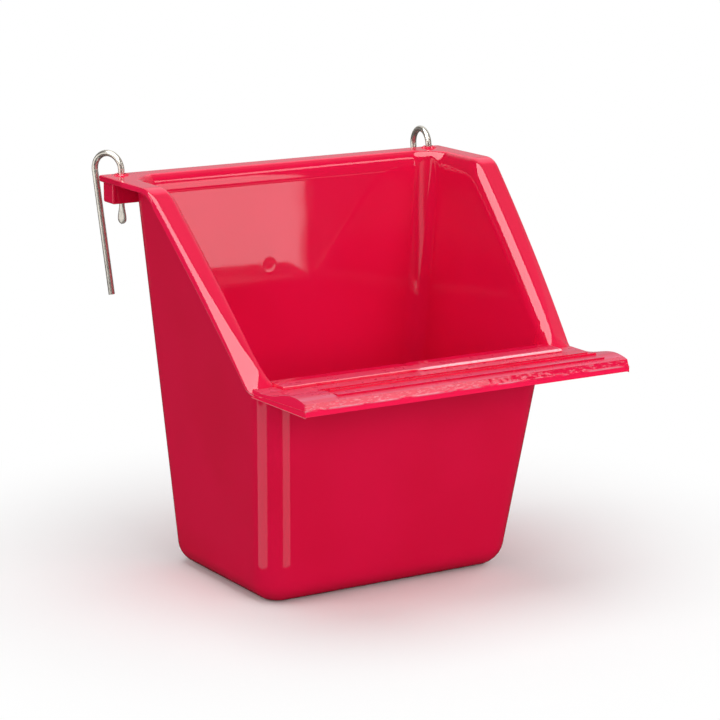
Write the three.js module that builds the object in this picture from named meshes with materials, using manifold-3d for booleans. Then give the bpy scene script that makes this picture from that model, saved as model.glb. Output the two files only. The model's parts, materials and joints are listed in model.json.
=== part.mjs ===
// Hanging feeder bowl: a moulded cup with a rim flange and a front perch, and two swivelling wire hooks.
// Millimetres. +Z up, -Y is the front (perch side), +X to the right seen from the front.
// The origin is the middle of the base, on the surface that the bowl stands on.

import * as THREE from 'three';
import { mergeVertices } from 'three/addons/utils/BufferGeometryUtils.js';
import Module from 'manifold-3d';

const wasm = await Module();
wasm.setup();

// Cup
const BOWL_HEIGHT = 100;
const BASE_WIDTH = 71.2;
const BASE_DEPTH = 50.0;
const SIDE_DRAFT = 0.098;
const FRONT_DRAFT = 0.172;
const BACK_DRAFT = 0.02;
const WALL = 2.0;
const FLOOR = 2.2;
const CORNER_RADIUS = 7.0;
const BASE_EDGE_RADIUS = 5.6;

// Rim flange, seen from the side: level at the back, then sloping down to the perch
const FLANGE_THICKNESS = 1.4;
const LIP_DEPTH = 2.4;
const LIP_WIDTH = 1.6;
const FLANGE_WIDTH_BACK = 100.8;
const FLANGE_WIDTH_FRONT = 91.6;
const FLANGE_BACK_OVERHANG = 5.5;
const LEVEL_LENGTH = 27.0;
const SHOULDER_RADIUS = 8.0;
const SLOPE_BOW = 0.6;
const SLOPE_FOOT_REACH = 2.0;
const FLANGE_CORNER_RADIUS = 2.0;

// Perch
const PERCH_UNDERSIDE = 56.4;
const PERCH_WIDTH_FRONT = 90.9;
const PERCH_REACH = 26.0;
const PERCH_REAR_THICKNESS = 1.9;
const PERCH_LEVEL_LENGTH = 5.6;
const PERCH_CROWN_THICKNESS = 3.9;
const PERCH_CROWN_SETBACK = 5.6;
const PERCH_NOSE_THICKNESS = 2.9;
const PERCH_FACE_HEIGHT = 1.6;
const PERCH_FACE_BEVEL = 0.7;
const PERCH_CORNER_RADIUS = 1.0;

// Grip ribs and the raised front rim between the side flanges
const RIB_COUNT = 3;
const RIB_PITCH = 3.4;
const RIB_WIDTH = 2.8;
const RIB_HEIGHT = 0.5;
const RIB_LENGTH = 77.0;
const RIB_SETBACK = 2.2;
const FRONT_RIM_WIDTH = 6.0;
const FRONT_RIM_HEIGHT = 0.7;

// Lugs that carry the hooks
const LUG_OUTSIDE_PIN = 3.3;
const LUG_DEPTH = 5.6;
const LUG_HEIGHT = 5.4;
const COLLAR_DIAMETER = 3.4;
const COLLAR_HEIGHT = 0.5;
const PIN_FROM_SIDE = 4.9;
const PIN_FROM_BACK = 3.0;

// Wire hooks
const WIRE_DIAMETER = 1.6;
const PIN_CLEARANCE = 0.3;
const HOOK_SPREAD = 8.2;
const HOOK_LEAN = 8.1;
const HOOK_LEG = 31.5;
const HOOK_PLAY = 0.6;
const TAIL_LENGTH = 6.0;
const TAIL_FLARE = 1.0;
const TAIL_NECK_WIDTH = 1.5;
const TAIL_THICKNESS = 0.9;
const LEFT_HOOK_HEADING = 117;
const RIGHT_HOOK_HEADING = 87;

// Facet counts
const CORNER_STEPS = 6;
const EDGE_STEPS = 4;
const SHOULDER_STEPS = 5;
const SLOPE_STEPS = 6;
const CROWN_STEPS = 8;
const ROUND_STEPS = 24;
const WIRE_SIDES = 10;
const WIRE_STEPS = 56;

const radians = THREE.MathUtils.degToRad;
const LEAST_RADIUS = 0.3;
const OVERSHOOT = 10;

// Solids and meshes

function toSolid(geometry) {
  geometry.deleteAttribute('normal');
  geometry.deleteAttribute('uv');
  const merged = mergeVertices(geometry);
  return new wasm.Manifold(new wasm.Mesh({
    numProp: 3,
    vertProperties: new Float32Array(merged.attributes.position.array),
    triVerts: new Uint32Array(merged.index.array),
  }));
}

function toGeometry(solid) {
  const mesh = solid.getMesh();
  const geometry = new THREE.BufferGeometry();
  geometry.setAttribute('position', new THREE.BufferAttribute(new Float32Array(mesh.vertProperties), 3));
  geometry.setIndex(new THREE.BufferAttribute(new Uint32Array(mesh.triVerts), 1));
  geometry.computeVertexNormals();
  return geometry;
}

// A solid skinned over closed rings of equal point count, listed from bottom to top, each running
// counter-clockwise seen from above, with flat caps.
function loft(rings) {
  const count = rings[0].length;
  const positions = rings.flat().flatMap((point) => [point.x, point.y, point.z]);
  const index = [];
  for (let ring = 0; ring + 1 < rings.length; ring += 1) {
    for (let i = 0; i < count; i += 1) {
      const a = ring * count + i;
      const b = ring * count + (i + 1) % count;
      index.push(a, b, b + count, a, b + count, a + count);
    }
  }
  const last = (rings.length - 1) * count;
  for (let i = 1; i + 1 < count; i += 1) {
    index.push(0, i + 1, i);
    index.push(last, last + i, last + i + 1);
  }
  const geometry = new THREE.BufferGeometry();
  geometry.setAttribute('position', new THREE.Float32BufferAttribute(positions, 3));
  geometry.setIndex(index);
  return toSolid(geometry);
}

// A solid of an outline in the Y-Z plane, swept along X from one side to the other.
function sweepAlongX(outline, fromX, toX) {
  const shape = new THREE.Shape(outline);
  const geometry = new THREE.ExtrudeGeometry(shape, { depth: toX - fromX, bevelEnabled: false });
  geometry.applyMatrix4(new THREE.Matrix4().makeBasis(
    new THREE.Vector3(0, 1, 0), new THREE.Vector3(0, 0, 1), new THREE.Vector3(1, 0, 0)));
  geometry.translate(fromX, 0, 0);
  return toSolid(geometry);
}

// A solid of an outline in the X-Y plane, standing between two heights.
function standUp(shape, fromZ, toZ, curveSegments) {
  const geometry = new THREE.ExtrudeGeometry(shape, { depth: toZ - fromZ, bevelEnabled: false, curveSegments });
  geometry.translate(0, 0, fromZ);
  return toSolid(geometry);
}

function post(x, y, fromZ, toZ, diameter) {
  const shape = new THREE.Shape();
  shape.absarc(x, y, diameter / 2, 0, 2 * Math.PI, false);
  return standUp(shape, fromZ, toZ, ROUND_STEPS / 2);
}

function box(x0, x1, y0, y1, z0, z1) {
  const geometry = new THREE.BoxGeometry(x1 - x0, y1 - y0, z1 - z0);
  geometry.translate((x0 + x1) / 2, (y0 + y1) / 2, (z0 + z1) / 2);
  return toSolid(geometry);
}

// Cup

const halfWidthAt = (z) => BASE_WIDTH / 2 + SIDE_DRAFT * z;
const frontAt = (z) => -BASE_DEPTH / 2 - FRONT_DRAFT * z;
const backAt = (z) => BASE_DEPTH / 2 + BACK_DRAFT * z;

// A rounded rectangle around the cup at one height, drawn in by an inset.
function cupRing(z, inset) {
  const right = halfWidthAt(z) - inset;
  const front = frontAt(z) + inset;
  const back = backAt(z) - inset;
  const radius = Math.max(CORNER_RADIUS - inset, LEAST_RADIUS);
  const corners = [
    [right - radius, back - radius, 0],
    [-right + radius, back - radius, 90],
    [-right + radius, front + radius, 180],
    [right - radius, front + radius, 270],
  ];
  return corners.flatMap(([x, y, start]) => Array.from({ length: CORNER_STEPS + 1 }, (_, i) => {
    const angle = radians(start + (90 * i) / CORNER_STEPS);
    return new THREE.Vector3(x + radius * Math.cos(angle), y + radius * Math.sin(angle), z);
  }));
}

// The cup as a solid block: a rounded lower edge, then straight drafted walls up to a height.
function cupBlock(inset, bottom, edgeRadius, top) {
  const rings = [];
  for (let i = 0; i <= EDGE_STEPS; i += 1) {
    const angle = (Math.PI / 2) * (i / EDGE_STEPS);
    const z = bottom + edgeRadius * (1 - Math.cos(angle));
    rings.push(cupRing(z, inset + edgeRadius * (1 - Math.sin(angle))));
  }
  rings.push(cupRing(top, inset));
  return loft(rings);
}

// Side profile of the rim

const rimBack = backAt(BOWL_HEIGHT) + FLANGE_BACK_OVERHANG;
const slopeStart = rimBack - LEVEL_LENGTH;
const perchFront = frontAt(PERCH_UNDERSIDE) - PERCH_REACH;
const perchRearTop = PERCH_UNDERSIDE + PERCH_REAR_THICKNESS;
const slopeFoot = frontAt(PERCH_UNDERSIDE) - SLOPE_FOOT_REACH;

// The slope is a shallow bow: its chord runs from the edge of the level part to the perch.
const chord = new THREE.Vector2(slopeFoot - slopeStart, perchRearTop - BOWL_HEIGHT);
const chordAngle = Math.atan2(-chord.y, -chord.x);
const bowAngle = Math.atan((4 * SLOPE_BOW) / chord.length());
const shoulderReach = SHOULDER_RADIUS * Math.tan((chordAngle - bowAngle) / 2);

// Places along the rim's top face from the back to the foot of the slope: how far the face has turned
// down from level there, the point itself, and how much of the change from level to slope is done.
function rimStations() {
  const stations = [{ angle: 0, y: rimBack, z: BOWL_HEIGHT, part: 0 }];
  for (let i = 0; i <= SHOULDER_STEPS; i += 1) {
    const part = i / SHOULDER_STEPS;
    const angle = (chordAngle - bowAngle) * part;
    stations.push({
      angle,
      y: slopeStart + shoulderReach - SHOULDER_RADIUS * Math.sin(angle),
      z: BOWL_HEIGHT - SHOULDER_RADIUS * (1 - Math.cos(angle)),
      part,
    });
  }
  for (let i = 1; i <= SLOPE_STEPS; i += 1) {
    const along = THREE.MathUtils.lerp(shoulderReach / chord.length(), 1, i / SLOPE_STEPS);
    const bow = 4 * SLOPE_BOW * along * (1 - along);
    stations.push({
      angle: chordAngle + bowAngle * (2 * along - 1),
      y: slopeStart + chord.x * along - bow * Math.sin(chordAngle),
      z: BOWL_HEIGHT + chord.y * along + bow * Math.cos(chordAngle),
      part: 1,
    });
  }
  return stations;
}

// The rim's line seen from the side, sunk square to its face by one depth on the level and one on the slope.
function rimProfile(levelDepth, slopeDepth) {
  return rimStations().map(({ angle, y, z, part }) => {
    const depth = THREE.MathUtils.lerp(levelDepth, slopeDepth, part);
    return new THREE.Vector2(y + depth * Math.sin(angle), z - depth * Math.cos(angle));
  });
}

const rimTop = rimProfile(0, 0);
const crownAt = perchFront + PERCH_CROWN_SETBACK;

// Height of the perch's smooth top: level behind, then one smooth swell to the crown and down to the nose.
function perchTopAt(y) {
  const swellStart = slopeFoot - PERCH_LEVEL_LENGTH;
  if (y >= crownAt) {
    const rise = PERCH_CROWN_THICKNESS - PERCH_REAR_THICKNESS;
    return perchRearTop + rise * THREE.MathUtils.smoothstep(-y, -swellStart, -crownAt);
  }
  const part = (crownAt - y) / (crownAt - perchFront);
  const fall = PERCH_CROWN_THICKNESS - PERCH_NOSE_THICKNESS;
  return PERCH_UNDERSIDE + PERCH_CROWN_THICKNESS - fall * part * part;
}

function perchTop(fromY, toY, raise) {
  return Array.from({ length: CROWN_STEPS + 1 }, (_, i) => {
    const y = THREE.MathUtils.lerp(fromY, toY, i / CROWN_STEPS);
    return new THREE.Vector2(y, perchTopAt(y) + raise);
  });
}

const noseTop = perchFront + PERCH_FACE_BEVEL;
const topLine = [...rimTop, ...perchTop(slopeFoot, noseTop, 0).slice(1)];
const noseLine = [
  new THREE.Vector2(perchFront, PERCH_UNDERSIDE + PERCH_FACE_HEIGHT),
  new THREE.Vector2(perchFront, PERCH_UNDERSIDE),
];

// The band of flange and perch seen from the side, with the flange this thick.
function bandOutline(levelThickness, slopeThickness) {
  const underside = rimProfile(levelThickness, slopeThickness).filter((point) => point.y > PERCH_UNDERSIDE);
  const lastPoint = underside.at(-1);
  const foot = new THREE.Vector2(
    lastPoint.x - (lastPoint.y - PERCH_UNDERSIDE) / Math.tan(chordAngle + bowAngle), PERCH_UNDERSIDE);
  return [...topLine, ...noseLine, foot, ...underside.reverse()];
}

// Plan of the flange and perch, drawn in by an inset

function flangePlan(inset) {
  const back = FLANGE_WIDTH_BACK / 2 - inset;
  const front = FLANGE_WIDTH_FRONT / 2 - inset;
  const nose = PERCH_WIDTH_FRONT / 2 - inset;
  const rear = rimBack - inset;
  const tip = perchFront + inset;
  const shape = new THREE.Shape();
  const rearRadius = Math.max(FLANGE_CORNER_RADIUS - inset, LEAST_RADIUS);
  const tipRadius = Math.max(PERCH_CORNER_RADIUS - inset, LEAST_RADIUS);
  shape.moveTo(-nose + tipRadius, tip);
  shape.lineTo(nose - tipRadius, tip);
  shape.absarc(nose - tipRadius, tip + tipRadius, tipRadius, -Math.PI / 2, 0, false);
  shape.lineTo(front, slopeFoot);
  shape.lineTo(back, slopeStart);
  shape.absarc(back - rearRadius, rear - rearRadius, rearRadius, 0, Math.PI / 2, false);
  shape.absarc(-back + rearRadius, rear - rearRadius, rearRadius, Math.PI / 2, Math.PI, false);
  shape.lineTo(-back, slopeStart);
  shape.lineTo(-front, slopeFoot);
  shape.absarc(-nose + tipRadius, tip + tipRadius, tipRadius, Math.PI, 1.5 * Math.PI, false);
  return shape;
}

function planBlock(inset) {
  return standUp(flangePlan(inset), -OVERSHOOT, BOWL_HEIGHT + OVERSHOOT, CORNER_STEPS);
}

// Lugs and hook places

const pinX = FLANGE_WIDTH_BACK / 2 - PIN_FROM_SIDE;
const pinY = rimBack - PIN_FROM_BACK;
const lugBottom = BOWL_HEIGHT - FLANGE_THICKNESS - LUG_HEIGHT;

function lug(side) {
  const outer = pinX + LUG_OUTSIDE_PIN;
  const inner = halfWidthAt(lugBottom) - CORNER_RADIUS;
  const [x0, x1] = side > 0 ? [inner, outer] : [-outer, -inner];
  const rear = pinY + LUG_DEPTH / 2;
  return box(x0, x1, pinY - LUG_DEPTH / 2, Math.min(rear, rimBack), lugBottom, BOWL_HEIGHT - FLANGE_THICKNESS / 2);
}

// Grip ribs

function rib(number) {
  const front = perchFront + RIB_SETBACK + number * RIB_PITCH;
  const rear = front + RIB_WIDTH;
  const outline = [
    ...perchTop(rear, front, RIB_HEIGHT),
    new THREE.Vector2(front, PERCH_UNDERSIDE + PERCH_FACE_HEIGHT),
    new THREE.Vector2(rear, PERCH_UNDERSIDE + PERCH_FACE_HEIGHT),
  ];
  return sweepAlongX(outline, -RIB_LENGTH / 2, RIB_LENGTH / 2);
}

// Front rim: the side flanges stop at the mouth, and only this low band runs across in front of it.

const mouthHalfWidth = halfWidthAt(perchRearTop) - WALL;
const frontRimTop = perchRearTop + FRONT_RIM_HEIGHT;

function frontOpening() {
  const rear = frontAt(PERCH_UNDERSIDE) + WALL + CORNER_RADIUS;
  return box(-mouthHalfWidth, mouthHalfWidth, slopeFoot, rear, frontRimTop, BOWL_HEIGHT);
}

function frontRim() {
  const rear = frontAt(PERCH_UNDERSIDE) + WALL;
  const front = frontAt(PERCH_UNDERSIDE) - FRONT_RIM_WIDTH;
  const middle = (PERCH_UNDERSIDE + perchRearTop) / 2;
  return box(-mouthHalfWidth, mouthHalfWidth, front, rear, middle, frontRimTop);
}

function makeBowl() {
  const wide = FLANGE_WIDTH_BACK / 2 + OVERSHOOT;
  const belowRim = sweepAlongX([
    ...topLine,
    new THREE.Vector2(perchFront, -OVERSHOOT),
    new THREE.Vector2(rimBack, -OVERSHOOT),
  ], -wide, wide);
  const cup = cupBlock(0, 0, BASE_EDGE_RADIUS, BOWL_HEIGHT + OVERSHOOT).intersect(belowRim);
  const innerEdgeRadius = Math.max(BASE_EDGE_RADIUS - WALL, LEAST_RADIUS);
  const cavity = cupBlock(WALL, FLOOR, innerEdgeRadius, BOWL_HEIGHT + OVERSHOOT);

  const plan = planBlock(0);
  const flange = sweepAlongX(bandOutline(FLANGE_THICKNESS, FLANGE_THICKNESS), -wide, wide).intersect(plan);
  const lip = sweepAlongX(bandOutline(FLANGE_THICKNESS, LIP_DEPTH), -wide, wide)
    .intersect(plan.subtract(planBlock(LIP_WIDTH)));

  let bowl = cup.add(flange).add(lip).subtract(frontOpening()).add(frontRim());
  for (let number = 0; number < RIB_COUNT; number += 1) {
    bowl = bowl.add(rib(number));
  }
  for (const side of [-1, 1]) {
    bowl = bowl.add(lug(side));
    bowl = bowl.add(post(side * pinX, pinY, BOWL_HEIGHT - FLANGE_THICKNESS, BOWL_HEIGHT + COLLAR_HEIGHT,
      COLLAR_DIAMETER));
  }
  bowl = bowl.subtract(cavity);
  for (const side of [-1, 1]) {
    bowl = bowl.subtract(post(side * pinX, pinY, lugBottom - OVERSHOOT, BOWL_HEIGHT + OVERSHOOT,
      WIRE_DIAMETER + 2 * PIN_CLEARANCE));
  }
  return bowl;
}

// Wire hook in its own frame: the pin stands on the Z axis and ends at height 0 in the bend,
// which arches towards +X. The long leg leans back in towards its tip.

class HookLine extends THREE.Curve {
  constructor(pinLength) {
    super();
    this.radius = HOOK_SPREAD / 2;
    this.pinLength = pinLength;
    this.bend = Math.PI + radians(HOOK_LEAN);
    this.bendLength = this.bend * this.radius;
  }

  onBend(angle, target) {
    return target.set(this.radius * (1 - Math.cos(angle)), 0, this.radius * Math.sin(angle));
  }

  getPoint(t, target = new THREE.Vector3()) {
    const run = t * (this.pinLength + this.bendLength + HOOK_LEG) - this.pinLength;
    if (run < 0) {
      return target.set(0, 0, run);
    }
    if (run < this.bendLength) {
      return this.onBend(run / this.radius, target);
    }
    const downLeg = new THREE.Vector3(Math.sin(this.bend), 0, Math.cos(this.bend));
    return this.onBend(this.bend, target).addScaledVector(downLeg, run - this.bendLength);
  }
}

// The flattened end of the pin: a narrow neck that widens into a rounded spade.
function tailShape(top) {
  const neck = TAIL_NECK_WIDTH / 2;
  const wide = (WIRE_DIAMETER + TAIL_FLARE) / 2;
  const belly = top - TAIL_LENGTH + wide;
  const shape = new THREE.Shape();
  shape.moveTo(neck, top);
  shape.lineTo(-neck, top);
  shape.lineTo(-wide, belly);
  shape.absarc(0, belly, wide, Math.PI, 2 * Math.PI, false);
  return shape;
}

// A hook rests with its bend on the collar, and can rise until its tail meets the lug.
const restLift = COLLAR_HEIGHT;
const raisedLift = COLLAR_HEIGHT + HOOK_PLAY;
const pinLength = BOWL_HEIGHT + raisedLift - lugBottom + PIN_CLEARANCE;

function makeHook() {
  const section = new THREE.Shape();
  section.absarc(0, 0, WIRE_DIAMETER / 2, 0, 2 * Math.PI, false);
  const wire = toSolid(new THREE.ExtrudeGeometry(section, {
    extrudePath: new HookLine(pinLength), steps: WIRE_STEPS, curveSegments: WIRE_SIDES / 2, bevelEnabled: false,
  }));
  const tailTop = -pinLength + WIRE_DIAMETER / 2;
  const tail = new THREE.ExtrudeGeometry(tailShape(tailTop), {
    depth: TAIL_THICKNESS, bevelEnabled: false, curveSegments: CORNER_STEPS,
  });
  tail.translate(0, 0, -TAIL_THICKNESS / 2);
  tail.rotateX(Math.PI / 2);
  return wire.add(toSolid(tail));
}

// Assembly

const redPlastic = new THREE.MeshStandardMaterial({ color: 0xcc1433, roughness: 0.28, metalness: 0 });
const nickelWire = new THREE.MeshStandardMaterial({ color: 0xb4aca0, roughness: 0.3, metalness: 1 });

const bowlMesh = new THREE.Mesh(toGeometry(makeBowl()), redPlastic);
bowlMesh.name = 'bowl';

function hookMesh(name, side, lift, heading) {
  const mesh = new THREE.Mesh(toGeometry(makeHook()), nickelWire);
  mesh.name = name;
  mesh.position.set(side * pinX, pinY, BOWL_HEIGHT + lift);
  mesh.rotation.z = radians(heading);
  return mesh;
}

const hangingBowl = new THREE.Group();
hangingBowl.add(
  bowlMesh,
  hookMesh('left_hook', -1, raisedLift, LEFT_HOOK_HEADING),
  hookMesh('right_hook', 1, restLift, RIGHT_HOOK_HEADING),
);

export default hangingBowl;
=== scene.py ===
# %% [markdown]
# # A hanging feeder bowl
#
# The object is a small red feeder bowl that hangs on a cage wall. It has three pieces: one glossy
# plastic moulding, with a sloping rim and a perch in front, and two bent wire hooks that swivel in
# lugs under the back corners of the rim. This lesson dresses the plain CAD solids: it makes a finer
# skin for each solid, gives it a procedural finish, and lights it like a catalogue picture.
#
# The first cell loads the CAD model as a fixed frame.

# %% Load the CAD frame
import json
import math

import bmesh
import bpy
import numpy as np
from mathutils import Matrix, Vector, noise


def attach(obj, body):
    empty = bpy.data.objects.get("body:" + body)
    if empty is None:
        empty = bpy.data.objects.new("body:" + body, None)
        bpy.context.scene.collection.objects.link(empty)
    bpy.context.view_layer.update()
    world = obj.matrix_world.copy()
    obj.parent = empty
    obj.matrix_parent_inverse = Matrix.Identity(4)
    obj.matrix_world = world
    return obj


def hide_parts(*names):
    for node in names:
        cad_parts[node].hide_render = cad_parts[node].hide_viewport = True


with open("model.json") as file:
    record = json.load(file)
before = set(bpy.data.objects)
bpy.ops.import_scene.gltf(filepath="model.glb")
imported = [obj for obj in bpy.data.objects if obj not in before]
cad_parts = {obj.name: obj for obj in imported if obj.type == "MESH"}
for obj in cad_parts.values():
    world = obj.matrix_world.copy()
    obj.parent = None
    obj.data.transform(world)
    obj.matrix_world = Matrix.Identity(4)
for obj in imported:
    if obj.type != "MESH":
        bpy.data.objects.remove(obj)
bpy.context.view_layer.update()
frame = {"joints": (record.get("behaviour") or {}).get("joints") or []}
scene = bpy.context.scene
scene.view_settings.view_transform = "Standard"

# %% [markdown]
# ## The camera
#
# The picture was taken from the front left, a little above the bowl, from far away with a long lens,
# so parallel edges stay almost parallel. The place, the two angles and the focal length were found by
# lining up the rim, the base and the perch of the CAD model with their edges in the picture.

# %% Camera
CAMERA_PLACE = (-0.34754, -0.57893, 0.20477)
CAMERA_AZIMUTH = -31.42
CAMERA_DOWN = 12.66
FOCAL_LENGTH = 137.16
SENSOR = 36.0

lens = bpy.data.cameras.new("camera")
lens.sensor_width = SENSOR
lens.lens = FOCAL_LENGTH
camera = bpy.data.objects.new("camera", lens)
camera.location = CAMERA_PLACE
camera.rotation_euler = (math.radians(90 - CAMERA_DOWN), 0, math.radians(CAMERA_AZIMUTH))
scene.collection.objects.link(camera)
scene.camera = camera
print("Camera distance in m:", round(camera.location.length, 3))

# %% [markdown]
# ## Helpers for node trees
#
# Shader trees and geometry trees both do a little arithmetic. These helpers make one node each and
# take either a plain number or the output of another node for every input, so a formula stays short.
# `ease` is the one used most: it goes softly from one number to another while a value crosses a span,
# and it is how a mask gets its edge.

# %% Helpers that make one node
def feed(tree, socket, value):
    if isinstance(value, bpy.types.NodeSocket):
        tree.links.new(value, socket)
    else:
        socket.default_value = value


def add(tree, kind, links=(), **settings):
    node = tree.nodes.new(kind)
    for key, value in settings.items():
        setattr(node, key, value)
    for name, value in dict(links).items():
        feed(tree, node.inputs[name], value)
    return node


def sums(tree, operation, *values):
    node = tree.nodes.new("ShaderNodeMath")
    node.operation = operation
    for socket, value in zip(node.inputs, values):
        feed(tree, socket, value)
    return node.outputs[0]


def ease(tree, value, low, high, start=0.0, end=1.0, kind="SMOOTHSTEP"):
    numbers = {"Value": value, "From Min": low, "From Max": high, "To Min": start, "To Max": end}
    node = add(tree, "ShaderNodeMapRange", interpolation_type=kind)
    for name, number in numbers.items():
        feed(tree, node.inputs[name], number)
    return node.outputs["Result"]


def parts_of(tree, vector):
    return add(tree, "ShaderNodeSeparateXYZ", {"Vector": vector}).outputs


print("Arithmetic helpers: feed, add, sums, ease, parts_of")

# %% Helpers for masks and finishes
def times(tree, mask, *others):
    for other in others:
        mask = sums(tree, "MULTIPLY", mask, other)
    return mask


def grain(tree, vector, scale, detail, roughness=0.5):
    return add(tree, "ShaderNodeTexNoise", {
        "Vector": vector, "Scale": scale, "Detail": detail, "Roughness": roughness}).outputs["Fac"]


def blend_colours(tree, amount, first, second):
    node = add(tree, "ShaderNodeMix", data_type="RGBA")
    feed(tree, node.inputs["Factor"], amount)
    for socket, value in zip([s for s in node.inputs if s.type == "RGBA"], (first, second)):
        feed(tree, socket, value)
    return next(s for s in node.outputs if s.type == "RGBA")


def blend_numbers(tree, amount, first, second):
    return add(tree, "ShaderNodeMix", {"Factor": amount, "A": first, "B": second}).outputs["Result"]


def new_finish(name):
    finish = bpy.data.materials.new(name)
    finish.use_nodes = True
    tree = finish.node_tree
    coordinates = tree.nodes.new("ShaderNodeTexCoord").outputs["Object"]
    return finish, tree, tree.nodes["Principled BSDF"], coordinates


print("Finish helpers: times, grain, blend_colours, blend_numbers, new_finish")

# %% [markdown]
# ## The red plastic
#
# The bowl is moulded polypropylene: a deep crimson, dyed through, with a waxy gloss. A flat colour
# would look like paint, so the colour drifts slowly over the piece, the gloss varies in patches that
# run up the walls, and a faint bump lets reflections swim, because a moulded wall is never quite flat.
#
# Some places are painted differently. The thin edges beside the cup and at the perch's front, where they
# face sideways, and the level flange top are painted a lighter, glowing crimson: painted light for the
# light they catch. The perch's upward faces are painted pale pink, most at the front of each rib: partly
# wear from feet, partly a painted sheen. The front bevel has pale scuffs and a painted highlight along its
# lower edge, and the front rim's chamfer and the lip's lower edge carry painted highlights. Each of these
# is a mask, a number from 0 to 1 that comes from the point's place in metres and from how far its surface
# faces up. They could be painted on an image, but a mask needs no image and stays sharp from close by.

# %% Plastic colours and the places that differ
CRIMSON = (0.74, 0.0055, 0.054, 1)
DEEP_CRIMSON = (0.70, 0.005, 0.046, 1)
# Lighter crimson for thin edges and the level flange top: painted light.
PAINTED_GLOW = (0.98, 0.010, 0.08, 1)
# Pale pink for the perch tops: partly wear, partly painted sheen.
SHEEN_AND_WEAR = (0.70, 0.095, 0.19, 1)
# Pale colour for scuffs on the perch's bevel, and for the painted highlight along its lower edge.
SCUFFS_AND_HIGHLIGHT = (0.80, 0.24, 0.31, 1)
# Near-white painted highlight for the front rim's chamfer and the lip's lower edge.
PAINTED_HIGHLIGHT = (0.95, 0.46, 0.50, 1)
PERCH_STARTS = -0.0358
PERCH_FULLY = -0.0368
RIM_FRONT = -0.0407
FIRST_STEP = -0.0517
STEP_PITCH = 0.0034
SIDE_EDGE = (0.0450, 0.0451)
LUG_STARTS = (0.022, 0.018)
FRONT_EDGE = (-0.0600, -0.0603)
FLANGE_TOP = (0.0975, 0.0990)
LEVEL_FACE = (0.80, 0.92)
STEEP_FACE = (0.45, 0.25)


# Painted light: edges beside the cup and at the perch's front that face sideways get a mask for a lighter
# crimson, as if lit.
def paint_edge_light(tree, x, y, upward):
    beside_cup = times(tree, ease(tree, sums(tree, "ABSOLUTE", x), *SIDE_EDGE), ease(tree, y, *LUG_STARTS))
    at_front = ease(tree, y, *FRONT_EDGE)
    steep = ease(tree, upward, *STEEP_FACE)
    return beside_cup, times(tree, sums(tree, "MAXIMUM", beside_cup, at_front), steep)


print("Plastic colours:", len((CRIMSON, DEEP_CRIMSON, PAINTED_GLOW, SHEEN_AND_WEAR, SCUFFS_AND_HIGHLIGHT, PAINTED_HIGHLIGHT)))

# %% Wear and painted sheen on the perch
RIM_SHEEN_AND_WEAR = (0.1, 0.7)
PLAIN_SHEEN_AND_WEAR = (0.25, 1.0)
LEAST_RIB_SHEEN_AND_WEAR = 0.25
LEAST_BLOTCHY = 0.7
BLOTCH_GRAIN = (520, 1)
BLOTCH_SPAN = (0.3, 0.7)


# Pale pink on the perch's upward faces, growing towards the front of each rib: partly wear from feet, partly
# a painted sheen where the tops face the light.
def perch_sheen_and_wear(tree, y, along):
    on_rim = ease(tree, y, PERCH_STARTS, RIM_FRONT, *RIM_SHEEN_AND_WEAR, "LINEAR")
    before_ribs = ease(tree, y, RIM_FRONT, FIRST_STEP, *PLAIN_SHEEN_AND_WEAR, "LINEAR")
    behind = blend_numbers(tree, sums(tree, "LESS_THAN", y, RIM_FRONT), on_rim, before_ribs)
    steps_ahead = sums(tree, "DIVIDE", sums(tree, "SUBTRACT", FIRST_STEP, y), STEP_PITCH)
    up_the_rib = sums(tree, "FRACT", steps_ahead)
    on_rib = sums(tree, "MULTIPLY_ADD", up_the_rib, 1 - LEAST_RIB_SHEEN_AND_WEAR, LEAST_RIB_SHEEN_AND_WEAR)
    sheen_and_wear = blend_numbers(tree, sums(tree, "GREATER_THAN", steps_ahead, 0.0), behind, on_rib)
    blotchiness = ease(tree, grain(tree, along, *BLOTCH_GRAIN), *BLOTCH_SPAN, LEAST_BLOTCHY, 1.0)
    return times(tree, sheen_and_wear, blotchiness)


print("Wear steps every", 1000 * STEP_PITCH, "mm")

# %% Scuffs and painted highlights
BEVEL_FRONT = (-0.0599, -0.0602)
BURR_FOOT = (0.0577, 0.0580)
BURR_TOP = (0.0584, 0.0580)
BURR_GRAIN = (700, 2)
BURR_SPAN = (0.42, 0.55)
SPECKLE = 0.6
SPECKLE_GRAIN = (2300, 3, 0.7)
SPECKLE_SPAN = (0.5, 0.66)
CHAMFER_HIGHLIGHT_REAR = (-0.0398, -0.0402)
CHAMFER_HIGHLIGHT_FRONT = (-0.0414, -0.0410)
CHAMFER_HIGHLIGHT_GROWS = (-0.003, -0.001, 0.35, 1.0)
SLANTED_FACE = ((0.95, 0.80), (0.15, 0.35))
UNDERCUT_FACE = ((-0.95, -0.80), (-0.15, -0.35))
LIP_HIGHLIGHT_GROWS = (-0.002, -0.010, 0.0, 0.8)


# Pale scuffs speckle the perch's front bevel; the ragged pale line along its lower edge is a painted
# highlight, partly a whitish burr.
def bevel_scuffs_and_highlight(tree, y, z, along):
    on_bevel = times(tree, ease(tree, y, *BEVEL_FRONT), ease(tree, z, *BURR_FOOT))
    speckle = ease(tree, grain(tree, along, *SPECKLE_GRAIN), *SPECKLE_SPAN, 0.0, SPECKLE)
    ragged = ease(tree, grain(tree, along, *BURR_GRAIN), *BURR_SPAN)
    burr_highlight = times(tree, ease(tree, z, *BURR_TOP), ragged)
    return times(tree, on_bevel, sums(tree, "MAXIMUM", speckle, burr_highlight))


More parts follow.
